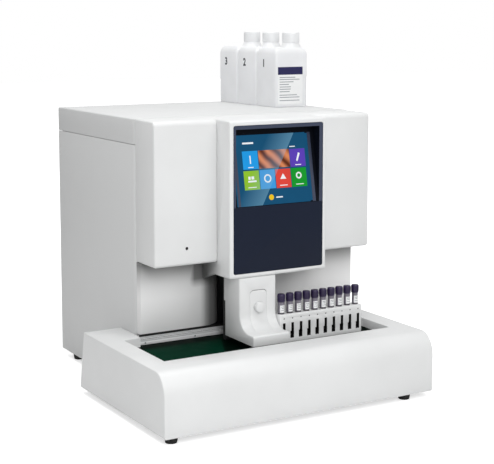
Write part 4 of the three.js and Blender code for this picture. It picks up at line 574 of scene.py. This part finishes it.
def rib_ring_tree():
    """Upright ribs round a cap: a bar at each point of a circle, turned outwards."""
    tree, given, sockets = start_tree(
        "rib_ring",
        [
            ("Count", "NodeSocketInt", 40),
            ("Radius", "NodeSocketFloat", 0.019),
            ("Rib size", "NodeSocketVector", (0.001, 0.001, 0.016)),
            ("Centre", "NodeSocketVector", (0.0, 0.0, 0.0)),
            ("Material", "NodeSocketMaterial", None),
        ],
    )
    circle = add_node(tree, "GeometryNodeMeshCircle", links={"Vertices": given["Count"], "Radius": given["Radius"]})
    place = add_node(tree, "GeometryNodeInputPosition")
    towards = {"Vector": place.outputs["Position"]}
    outward = add_node(tree, "FunctionNodeAlignRotationToVector", settings={"axis": "X"}, links=towards)
    rib = add_node(tree, "GeometryNodeMeshCube", links={"Size": given["Rib size"]})
    ribs = add_node(
        tree,
        "GeometryNodeInstanceOnPoints",
        links={
            "Points": circle.outputs["Mesh"],
            "Instance": rib.outputs["Mesh"],
            "Rotation": outward.outputs["Rotation"],
        },
    )
    carried = {"Geometry": ribs.outputs["Instances"], "Translation": given["Centre"]}
    moved = add_node(tree, "GeometryNodeTransform", links=carried)
    close_tree(tree, moved.outputs["Geometry"], given["Material"])
    return tree, sockets


def screw_row_tree():
    """Low round screw heads at even steps along a line from one point to another."""
    tree, given, sockets = start_tree(
        "screw_row",
        [
            ("Count", "NodeSocketInt", 4),
            ("Start", "NodeSocketVector", (0.0, 0.0, 0.0)),
            ("Step", "NodeSocketVector", (0.1, 0.0, 0.0)),
            ("Head radius", "NodeSocketFloat", 0.003),
            ("Head height", "NodeSocketFloat", 0.0012),
            ("Turn", "NodeSocketRotation", None),
            ("Material", "NodeSocketMaterial", None),
        ],
    )
    steps = {"Count": given["Count"], "Start Location": given["Start"], "Offset": given["Step"]}
    line = add_node(tree, "GeometryNodeMeshLine", links=steps)
    sizes = {"Radius Bottom": given["Head radius"], "Depth": given["Head height"]}
    head = add_node(tree, "GeometryNodeMeshCone", values={"Vertices": 20}, links=sizes)
    tree.links.new(math_of(tree, "MULTIPLY", given["Head radius"], 0.72), head.inputs["Radius Top"])
    heads = add_node(
        tree,
        "GeometryNodeInstanceOnPoints",
        links={"Points": line.outputs["Mesh"], "Instance": head.outputs["Mesh"], "Rotation": given["Turn"]},
    )
    close_tree(tree, heads.outputs["Instances"], given["Material"])
    return tree, sockets


def grown_piece(name, body, maker, inputs):
    """A piece made by a Geometry Nodes tree and turned to a plain mesh."""
    tree, sockets = maker
    seed = bpy.data.meshes.new(name)
    piece = bpy.data.objects.new(name, seed)
    bpy.context.scene.collection.objects.link(piece)
    modifier = piece.modifiers.new("Shape", "NODES")
    modifier.node_group = tree
    for label, value in inputs.items():
        modifier[sockets[label]] = value
    baked(piece)
    shade_by_angle(piece.data, 35.0)
    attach(piece, body)
    return piece


TREES = {}


# Settings that a user would change


class AnalyzerFinish(bpy.types.PropertyGroup):
    shell_colour: bpy.props.FloatVectorProperty(
        name="Mouldings", description="Colour of the moulded covers and the tray", subtype="COLOR", size=3,
        default=hex_colour("#e6e7e7")[:3], min=0, max=1,
    )
    sheet_colour: bpy.props.FloatVectorProperty(
        name="Casing", description="Colour of the folded sheet casing", subtype="COLOR", size=3,
        default=hex_colour("#d9dada")[:3], min=0, max=1,
    )
    panel_colour: bpy.props.FloatVectorProperty(
        name="Display panel", description="Colour of the glossy panel round the screen", subtype="COLOR", size=3,
        default=hex_colour("#1a2132")[:3], min=0, max=1,
    )
    moulding_edge: bpy.props.FloatProperty(
        name="Moulding edge", description="Width of the broken edges on the mouldings, in millimetres",
        default=0.7, min=0.1, max=2.0,
    )
    sheet_edge: bpy.props.FloatProperty(
        name="Sheet edge", description="Width of the broken edges on the sheet casing, in millimetres",
        default=0.4, min=0.1, max=1.0,
    )


class AnalyzerDetail(bpy.types.PropertyGroup):
    cap_ribs: bpy.props.IntProperty(
        name="Bottle cap ribs", description="Number of grip ribs round a bottle cap", default=48, min=12, max=90
    )
    stopper_ribs: bpy.props.IntProperty(
        name="Stopper ribs", description="Number of grip ribs round a tube stopper", default=18, min=8, max=40
    )
    screw_radius: bpy.props.FloatProperty(
        name="Screw head", description="Radius of a screw head", unit="LENGTH", default=0.003, min=0.001, max=0.006
    )


class AnalyzerStage(bpy.types.PropertyGroup):
    camera_place: bpy.props.FloatVectorProperty(
        name="Camera", description="Where the camera stands", subtype="XYZ", unit="LENGTH", size=3,
        default=(-1.2695, -2.2786, 0.754),
    )
    camera_yaw: bpy.props.FloatProperty(
        name="Yaw", description="The camera's turn from straight ahead", unit="ROTATION", default=math.radians(30.4)
    )
    camera_pitch: bpy.props.FloatProperty(
        name="Pitch", description="The camera's tilt below the level", unit="ROTATION", default=math.radians(6.8)
    )
    key_power: bpy.props.FloatProperty(
        name="Key light", description="Power of the large lamp high in front", unit="POWER", default=17.0
    )
    side_power: bpy.props.FloatProperty(
        name="Side light", description="Power of the lamp in front on the left", unit="POWER", default=29.0
    )
    top_power: bpy.props.FloatProperty(
        name="Top light", description="Power of the large lamp overhead", unit="POWER", default=55.0
    )
    room_light: bpy.props.FloatProperty(
        name="Room light", description="Strength of the even light all round", default=0.37, min=0.0, max=2.0
    )


# Operators, one for each piece or group of like pieces


class ANALYZER_OT_materials(bpy.types.Operator):
    """Makes the finishes of the analyzer"""

    bl_idname = "analyzer.materials"
    bl_label = "Finishes"

    def execute(self, context):
        make_materials(context.scene.analyzer_finish)
        TREES["ribs"] = rib_ring_tree()
        TREES["screws"] = screw_row_tree()
        return {"FINISHED"}


class ANALYZER_OT_casing(bpy.types.Operator):
    """Finishes the folded sheet casing, the base pan and the rear panel"""

    bl_idname = "analyzer.casing"
    bl_label = "Casing"

    def execute(self, context):
        edge = context.scene.analyzer_finish.sheet_edge
        for node in ("top_cover", "left_side_panel", "right_side_panel", "rear_panel"):
            dress(node, "sheet", edge)
        paint("base_pan", "steel")
        return {"FINISHED"}


class ANALYZER_OT_mouldings(bpy.types.Operator):
    """Finishes the head cover, the lower front panel and the tray"""

    bl_idname = "analyzer.mouldings"
    bl_label = "Mouldings"

    def execute(self, context):
        edge = context.scene.analyzer_finish.moulding_edge
        for node, key in (("head_cover", "shell"), ("lower_front_panel", "bay"), ("tray_housing", "shell")):
            dress(node, key, edge)
        return {"FINISHED"}


class ANALYZER_OT_display(bpy.types.Operator):
    """Finishes the display: its housing, the dark panel with its window, and the picture on the screen"""

    bl_idname = "analyzer.display"
    bl_label = "Display"

    def execute(self, context):
        dress("display_housing", "housing", context.scene.analyzer_finish.moulding_edge)
        panel = dress("display_panel", "panel", 0.3)
        panel.data.materials.append(MATERIALS["window"])
        margin, tub_back = 0.1, 190
        low = spot(WINDOW_LEFT - margin, PANEL_FACE + 0.05, WINDOW_LOW - margin)
        high = spot(WINDOW_RIGHT + margin, tub_back, WINDOW_HIGH + margin)
        for face in panel.data.polygons:
            inside = all(low[i] < face.center[i] < high[i] for i in range(3))
            if inside and face.normal.y < 0.5:
                face.material_index = 1
        dress("lcd_screen", "screen", 0.0)
        self.rim_window()
        self.draw_screen()
        self.draw_status_lamp()
        return {"FINISHED"}

    def rim_window(self):
        """The lighter rim round the window, flush on the panel's face: a painted highlight standing for the light on
        the window's bevelled edge.
        """
        work = bmesh.new()
        front = PANEL_FACE - 0.08
        left, right, high, cut = 232.6, 439.4, 550.6, 3.4
        for x0, x1 in ((left, WINDOW_LEFT), (WINDOW_RIGHT, right)):
            side = [(x0, WINDOW_LOW), (x1, WINDOW_LOW), (x1, WINDOW_HIGH), (x0, WINDOW_HIGH)]
            prism(work, side, front, PANEL_FACE)
        top = [(left, WINDOW_HIGH), (right, WINDOW_HIGH), (right, high - cut), (right - cut, high)]
        prism(work, top + [(left + cut, high), (left, high - cut)], front, PANEL_FACE)
        add_work("window_rim", work, "cabinet", ["window_trim"])

    def draw_screen(self):
        """The lit cover of the screen with its plain tiles, drawn upright and then leaned back."""
        keys = ("screen", "blue", "picture", "purple", "lime", "pale_blue", "red", "green", "yellow", "white",
                "window_trim")
        number = {key: index for index, key in enumerate(keys)}
        work = bmesh.new()
        step, overlap = 0.08, 0.01
        cover_face, tile_face, mark_face = (SCREEN_FOOT - step * layer for layer in (1, 2, 3))
        edge_strips = ((244.5, 249.8), (417.2, 424.5))
        # Each row: x from, x to, z from, z to.
        tiles = (
            ("blue", 262.5, 297.6, 464.2, 500.2), ("picture", 299.2, 371, 464.2, 500.2),
            ("purple", 372, 408, 463.6, 499.6), ("lime", 262, 296.8, 423.6, 461.2),
            ("pale_blue", 298.4, 333.4, 423.6, 461.2), ("red", 335, 369.8, 423.4, 461),
            ("green", 371.4, 407.4, 423.2, 461),
        )
        bars = (
            (265, 290, 514, 517.4), (373, 386, 503.6, 505.4), (278.6, 281.2, 475, 491), (274, 286, 467, 468.6),
            (383, 397, 466.6, 468.2), (272, 277, 444, 450), (279, 285, 444, 450), (271, 290, 438.6, 442),
            (270, 289, 427.6, 429.2), (343, 361, 427.6, 429.2), (381, 399, 427.6, 429.2), (331.6, 347, 404.4, 406.8),
            (349, 354, 441, 443.5),
        )
        slash, triangle = [(386, 476), (389, 474), (396, 490), (392, 492)], [(345, 441), (359, 441), (352, 452)]
        rings, dot = ((316, 444, 8.5, 5.5), (389, 446, 6.8, 3.8)), (320.7, 406.4, 5.6)

        slab(work, spot(250, cover_face, 394), spot(417, SCREEN_FOOT, 530), number["screen"])
        for left, right in edge_strips:
            slab(work, spot(left, cover_face, 392), spot(right, SCREEN_FOOT, 532), number["window_trim"])
        for key, x0, x1, z0, z1 in tiles:
            slab(work, spot(x0, tile_face, z0), spot(x1, cover_face - overlap, z1), number[key])
        for x0, x1, z0, z1 in bars:
            slab(work, spot(x0, mark_face, z0), spot(x1, tile_face - overlap, z1), number["white"])
        for outline in (slash, triangle):
            prism(work, outline, mark_face, tile_face - overlap, number["white"])
        thickness = step - overlap
        for x, z, outer, inner in rings:
            centre = spot(x, mark_face + thickness / 2, z)
            disc(work, centre, (0, -1, 0), outer, thickness, 28, number["white"], inner)
        x, z, radius = dot
        disc(work, spot(x, mark_face + thickness / 2, z), (0, -1, 0), radius, thickness, 28, number["yellow"])
        lean = Matrix.Rotation(-SCREEN_LEAN, 3, "X")
        bmesh.ops.rotate(work, cent=spot(0, SCREEN_FOOT, WINDOW_LOW), matrix=lean, verts=work.verts)
        add_work("screen_cover", work, "cabinet", keys)

    def draw_status_lamp(self):
        """The small dark lamp on the head's left front."""
        work = bmesh.new()
        radius, thickness = 3.0, 0.5
        disc(work, spot(156, 208.9, 311), (0, -1, 0), radius, thickness)
        add_work("status_lamp", work, "cabinet", ["dark"])


class ANALYZER_OT_tray_floor(bpy.types.Operator):
    """Finishes the tray's plate and guide rail, and sets the rail's screws"""

    bl_idname = "analyzer.tray_floor"
    bl_label = "Tray floor"

    def execute(self, context):
        dress("transport_plate", "plate", 0.3)
        dress("transport_rail", "rail", 0.25)
        self.line_rail()
        detail = context.scene.analyzer_detail
        grown_piece(
            "rail_screws", "cabinet", TREES["screws"],
            {
                "Count": 5, "Start": spot(95, 272.25, 116), "Step": Vector((0.112, 0, 0)),
                "Head radius": detail.screw_radius * 0.6, "Head height": 0.0008,
                "Turn": (math.radians(90), 0.0, 0.0), "Material": MATERIALS["steel"],
            },
        )
        return {"FINISHED"}

    def line_rail(self):
        """A black strip of painted shade along the rail's top edge, where the gap above it lies in shadow, and a dark
        line of painted shade for a groove in its face.
        """
        work = bmesh.new()
        left, right, thickness = 81.2, 557.2, 0.18
        gap_shade_front, gap_shade_low, gap_shade_high = 271.8, 129.6, 134.4
        groove_front, groove_low, groove_high = 272.1, 123.6, 124.2
        slab(work, spot(left, gap_shade_front, gap_shade_low), spot(right, gap_shade_front + thickness, gap_shade_high))
        slab(work, spot(left, groove_front, groove_low), spot(right, groove_front + thickness, groove_high))
        add_work("rail_gap_painted_shade", work, "cabinet", ["shadow"])


class ANALYZER_OT_column(bpy.types.Operator):
    """Finishes the sampler column, its tilt-out door and the knob"""

    bl_idname = "analyzer.column"
    bl_label = "Sampler column"

    def execute(self, context):
        edge = context.scene.analyzer_finish.moulding_edge
        dress("column_cover", "shell", edge)
        dress("stat_door", "shell", 0.4)
        dress("stat_knob", "shell", 0.3)
        self.back_column()
        self.curl_panel()
        return {"FINISHED"}

    def back_column(self):
        """A black box of painted shade behind the column, between its cover and the rail."""
        work = bmesh.new()
        left, right, front, rear, foot, top = 250, 328, 222.4, 232, 113, 249
        slab(work, spot(left, front, foot), spot(right, rear, top))
        add_work("column_back_painted_shade", work, "cabinet", ["shadow"])

    def curl_panel(self):
        """The lower panel's edge, which curls back into the bay in a wide bend."""
        work = bmesh.new()
        start, face, radius, thickness = 226.0, 271.8, 54.0, 1.0
        sides, sweep = 18, math.radians(55)
        columns = []
        for step in range(sides + 1):
            angle = sweep * step / sides
            corners = []
            for reach in (radius, radius - thickness):
                x, y = start + reach * math.sin(angle), face + radius - reach * math.cos(angle)
                corners += [work.verts.new(spot(x, y, height)) for height in (134.6, 261.8)]
            columns.append(corners)
        wrap(work, columns)
        shade_by_angle(add_work("panel_curl", work, "cabinet", ["bay"]).data, 30)


class ANALYZER_OT_rack(bpy.types.Operator):
    """Finishes the sample rack, the tubes and their ribbed stoppers"""

    bl_idname = "analyzer.rack"
    bl_label = "Rack and tubes"

    def execute(self, context):
        self.line_bores(dress("rack", "rack", 0.25))
        ribs = context.scene.analyzer_detail.stopper_ribs
        for number in range(1, 11):
            dress(f"tube_{number}", "tube", 0.0, 50.0)
            dress(f"tube_cap_{number}", "cap", 0.2, 40.0)
            low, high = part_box(f"tube_cap_{number}")
            centre = (low + high) / 2
            centre.z = high.z - 0.0075
            grown_piece(
                f"stopper_ribs_{number}", f"tube_{number}", TREES["ribs"],
                {
                    "Count": ribs, "Radius": (high.x - low.x) / 2 - 0.0001,
                    "Rib size": Vector((0.0008, 0.0011, 0.0105)), "Centre": centre, "Material": MATERIALS["cap"],
                },
            )
            self.stick_label(number, centre)
        return {"FINISHED"}

    def line_bores(self, rack):
        """Inner faces of the bores, the keyholes and the index dots are dark with painted shade."""
        rack.data.materials.append(MATERIALS["shadow"])
        low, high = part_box("rack")
        for face in rack.data.polygons:
            inside = low.y + 0.0008 < face.center.y < high.y - 0.0008
            inside = inside and low.x + 0.001 < face.center.x < high.x - 0.001
            if inside and low.z + 0.002 < face.center.z < high.z - 0.0012:
                face.material_index = 1

    def stick_label(self, number, centre):
        """A paper label on the front of a tube, above the rack, with three printed lines."""
        work = bmesh.new()
        self.bend_strip(work, centre, 6.58, 52, 173.0, 187.5, 0)
        for level, reach in ((184.5, 34), (181.5, 22), (177.0, 36)):
            self.bend_strip(work, centre, 6.62, reach, level - 0.5, level + 0.5, 1)
        add_work(f"tube_label_{number}", work, f"tube_{number}", ["paper", "grey_ink"])

    def bend_strip(self, work, centre, radius_mm, reach_deg, low_mm, high_mm, material_index):
        """A closed thin strip bent round an upright axis, its middle facing the front."""
        sides = 8
        columns = []
        for step in range(sides + 1):
            angle = math.radians(reach_deg * (2 * step / sides - 1))
            outward = Vector((math.sin(angle), -math.cos(angle), 0))
            corners = []
            for radius in (radius_mm, radius_mm - 0.05):
                for height in (low_mm, high_mm):
                    point = Vector((centre.x, centre.y, 0)) + outward * radius * MM
                    corners.append(work.verts.new((point.x, point.y, height * MM)))
            columns.append(corners)
        for face in wrap(work, columns):
            face.material_index = material_index


class ANALYZER_OT_bottles(bpy.types.Operator):
    """Finishes the reagent bottles and their caps, with a label and plain numerals"""

    bl_idname = "analyzer.bottles"
    bl_label = "Reagent bottles"

    def execute(self, context):
        ribs = context.scene.analyzer_detail.cap_ribs
        for number in range(1, 4):
            dress(f"bottle_{number}", "bottle", 0.4, 50.0)
            dress(f"bottle_cap_{number}", "bottle_cap", 0.4, 40.0)
            low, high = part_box(f"bottle_cap_{number}")
            centre = (low + high) / 2
            grown_piece(
                f"bottle_cap_ribs_{number}", f"bottle_cap_{number}", TREES["ribs"],
                {
                    "Count": ribs, "Radius": (high.x - low.x) / 2, "Rib size": Vector((0.0009, 0.0012, 0.018)),
                    "Centre": centre, "Material": MATERIALS["bottle_cap"],
                },
            )
            self.write_numeral(number)
        self.stick_label()
        return {"FINISHED"}

    def write_numeral(self, number):
        """A plain numeral on the left side of a bottle."""
        curve = bpy.data.curves.new(f"numeral_{number}", "FONT")
        curve.body = str(number)
        curve.size = 23.5 * MM
        curve.extrude = 0.06 * MM
        curve.offset = 0.8 * MM
        curve.align_x = "CENTER"
        low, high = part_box(f"bottle_{number}")
        text = bpy.data.objects.new(f"numeral_{number}", curve)
        bpy.context.scene.collection.objects.link(text)
        bpy.context.view_layer.update()
        graph = bpy.context.evaluated_depsgraph_get()
        mesh = bpy.data.meshes.new_from_object(text.evaluated_get(graph))
        bpy.data.objects.remove(text)
        turn = Matrix.Rotation(math.radians(-90), 4, "Z") @ Matrix.Rotation(math.radians(90), 4, "X")
        proud, back_of_middle, above_foot = 0.05 * MM, 8 * MM, 88.5 * MM
        place = Matrix.Translation((low.x - proud, (low.y + high.y) / 2 + back_of_middle, low.z + above_foot))
        mesh.transform(place @ turn)
        add_piece(f"numeral_{number}", mesh, f"bottle_{number}", ["numeral"])

    def stick_label(self):
        """The front bottle's label: paper, a dark band and plain lines."""
        work = bmesh.new()
        face, sheet, ink = 421.0, 420.85, 420.75
        left, right, low, band, high = 495.5, 560, 569, 634, 651
        # Each printed line: its height and its right end.
        lines = ((628, 541), (623.5, 552), (618, 536), (612.5, 524), (607, 529), (602, 529), (596.5, 526),
                 (589, 545), (584, 552), (577, 552))
        slab(work, spot(left, sheet, low), spot(right, face, high), 0)
        slab(work, spot(left, ink, band), spot(right, sheet, high), 1)
        for z, end in lines:
            slab(work, spot(left + 4.5, ink, z - 0.8), spot(end, sheet, z + 0.8), 2)
        add_work("reagent_label", work, "bottle_1", ["paper", "ink", "grey_ink"])


class ANALYZER_OT_rear(bpy.types.Operator):
    """Finishes the fan, the inlet, the sockets and the fittings, and sets the rear panel's screws"""

    bl_idname = "analyzer.rear"
    bl_label = "Rear fittings"

    def execute(self, context):
        for node in ("fan_frame", "fan_rotor", "power_inlet", "power_switch", "data_sockets", "fluid_fittings"):
            dress(node, "black", 0.25)
        radius = context.scene.analyzer_detail.screw_radius
        turn = (math.radians(-90), 0.0, 0.0)
        for name, z in (("rear_screws_low", 30), ("rear_screws_high", 548)):
            grown_piece(
                name, "cabinet", TREES["screws"],
                {
                    "Count": 4, "Start": spot(110, 663.5, z), "Step": Vector((158 * MM, 0, 0)),
                    "Head radius": radius, "Head height": 0.0014, "Turn": turn, "Material": MATERIALS["steel"],
                },
            )
        return {"FINISHED"}


class ANALYZER_OT_inner_modules(bpy.types.Operator):
    """Finishes the modules inside the cabinet and the needle arm behind the bay"""

    bl_idname = "analyzer.inner_modules"
    bl_label = "Inner modules"

    def execute(self, context):
        for node in ("power_supply", "delivery_pump", "column_oven", "optical_detector"):
            paint(node, "module")
        paint("control_board", "board")
        dress("sampling_guide", "guide", 0.3)
        dress("needle_arm", "guide", 0.2)
        return {"FINISHED"}


class ANALYZER_OT_feet(bpy.types.Operator):
    """Finishes the rubber feet"""

    bl_idname = "analyzer.feet"
    bl_label = "Feet"

    def execute(self, context):
        for node in ("foot_front_left", "foot_front_right", "foot_rear_left", "foot_rear_right"):
            dress(node, "rubber", 0.4, 40.0)
        return {"FINISHED"}


class ANALYZER_OT_stage(bpy.types.Operator):
    """Sets up the floor, the soft lamps, the pale room and the camera"""

    bl_idname = "analyzer.stage"
    bl_label = "Stage"

    def execute(self, context):
        stage = context.scene.analyzer_stage
        self.lay_floor()
        self.light_room(context.scene, stage.room_light)
        self.hang_lamp("key_lamp", (0.7, -2.6, 2.7), 1.6, stage.key_power)
        self.hang_lamp("side_lamp", (-0.9, -2.8, 1.6), 1.2, stage.side_power)
        self.hang_lamp("top_lamp", (-0.2, 0.1, 3.2), 2.4, stage.top_power)
        data = bpy.data.cameras.new("camera")
        data.lens = 91.65
        data.sensor_width = 36.0
        data.sensor_fit = "HORIZONTAL"
        data.shift_y = -0.1255
        data.clip_end = 100.0
        camera = bpy.data.objects.new("camera", data)
        camera.location = stage.camera_place
        camera.rotation_euler = (math.pi / 2 - stage.camera_pitch, 0.0, -stage.camera_yaw)
        context.scene.collection.objects.link(camera)
        context.scene.camera = camera
        context.scene.view_settings.view_transform = "Standard"
        return {"FINISHED"}

    def lay_floor(self):
        """A pale floor that keeps shadows near the object and is white farther off."""
        material, tree, coords = new_material("studio_floor")
        seen = add_node(tree, "ShaderNodeLightPath").outputs["Is Camera Ray"]
        away = add_node(tree, "ShaderNodeVectorMath", settings={"operation": "LENGTH"}, links={0: coords})
        bright = remapped(tree, away.outputs["Value"], 0.7, 2.2, 0.62, 1.0)
        matt = add_node(tree, "ShaderNodeBsdfDiffuse", values={"Color": hex_colour("#f2f2f2")})
        glow = add_node(tree, "ShaderNodeEmission", links={"Strength": math_of(tree, "MULTIPLY", seen, bright)})
        both = add_node(tree, "ShaderNodeAddShader", links={0: matt.outputs[0], 1: glow.outputs[0]})
        add_node(tree, "ShaderNodeOutputMaterial", links={"Surface": both.outputs[0]})
        work = bmesh.new()
        bmesh.ops.create_grid(work, x_segments=1, y_segments=1, size=12.0)
        mesh = plain_mesh("floor", work)
        mesh.materials.append(material)
        floor = bpy.data.objects.new("floor", mesh)
        bpy.context.scene.collection.objects.link(floor)

    def light_room(self, scene, strength):
        """Even light all round, white to the camera and nearly so to gloss."""
        world = bpy.data.worlds.new("pale_room")
        scene.world = world
        world.use_nodes = True
        tree = world.node_tree
        tree.nodes.clear()
        path = add_node(tree, "ShaderNodeLightPath")
        glossy, camera = path.outputs["Is Glossy Ray"], path.outputs["Is Camera Ray"]
        even = add_node(tree, "ShaderNodeBackground", values={"Color": hex_colour("#ffffff"), "Strength": strength})
        seen = add_node(tree, "ShaderNodeBackground", values={"Color": hex_colour("#ffffff"), "Strength": 1.0})
        share = math_of(tree, "MULTIPLY_ADD", glossy, 0.7, camera, clamp=True)
        mix = add_node(tree, "ShaderNodeMixShader", links={0: share, 1: even.outputs[0], 2: seen.outputs[0]})
        add_node(tree, "ShaderNodeOutputWorld", links={"Surface": mix.outputs[0]})

    def hang_lamp(self, name, place, size, power):
        """A square lamp that looks at the middle of the object."""
        data = bpy.data.lights.new(name, "AREA")
        data.shape = "SQUARE"
        data.size = size
        data.energy = power
        lamp = bpy.data.objects.new(name, data)
        lamp.location = place
        aim = Vector((0.0, 0.0, 0.35)) - Vector(place)
        lamp.rotation_euler = aim.to_track_quat("-Z", "Y").to_euler()
        bpy.context.scene.collection.objects.link(lamp)


STEPS = (
    ANALYZER_OT_materials,
    ANALYZER_OT_casing,
    ANALYZER_OT_mouldings,
    ANALYZER_OT_display,
    ANALYZER_OT_tray_floor,
    ANALYZER_OT_column,
    ANALYZER_OT_rack,
    ANALYZER_OT_bottles,
    ANALYZER_OT_rear,
    ANALYZER_OT_inner_modules,
    ANALYZER_OT_feet,
    ANALYZER_OT_stage,
)


class ANALYZER_PT_sidebar(bpy.types.Panel):
    """Lists the analyzer's pieces and settings"""

    bl_idname = "ANALYZER_PT_sidebar"
    bl_label = "Analyzer"
    bl_space_type = "VIEW_3D"
    bl_region_type = "UI"
    bl_category = "Analyzer"

    def draw(self, context):
        for group in ("analyzer_finish", "analyzer_detail", "analyzer_stage"):
            settings = getattr(context.scene, group)
            column = self.layout.column()
            for name in settings.__annotations__:
                column.prop(settings, name)
        for step in STEPS:
            self.layout.operator(step.bl_idname)


SETTINGS = {
    "analyzer_finish": AnalyzerFinish,
    "analyzer_detail": AnalyzerDetail,
    "analyzer_stage": AnalyzerStage,
}


def register():
    for group in SETTINGS.values():
        bpy.utils.register_class(group)
    for name, group in SETTINGS.items():
        setattr(bpy.types.Scene, name, bpy.props.PointerProperty(type=group))
    for step in STEPS:
        bpy.utils.register_class(step)
    bpy.utils.register_class(ANALYZER_PT_sidebar)


def unregister():
    bpy.utils.unregister_class(ANALYZER_PT_sidebar)
    for step in reversed(STEPS):
        bpy.utils.unregister_class(step)
    for name, group in SETTINGS.items():
        delattr(bpy.types.Scene, name)
        bpy.utils.unregister_class(group)


def main():
    register()
    for step in STEPS:
        group, action = step.bl_idname.split(".")
        getattr(getattr(bpy.ops, group), action)()


if __name__ == "__main__":
    main()
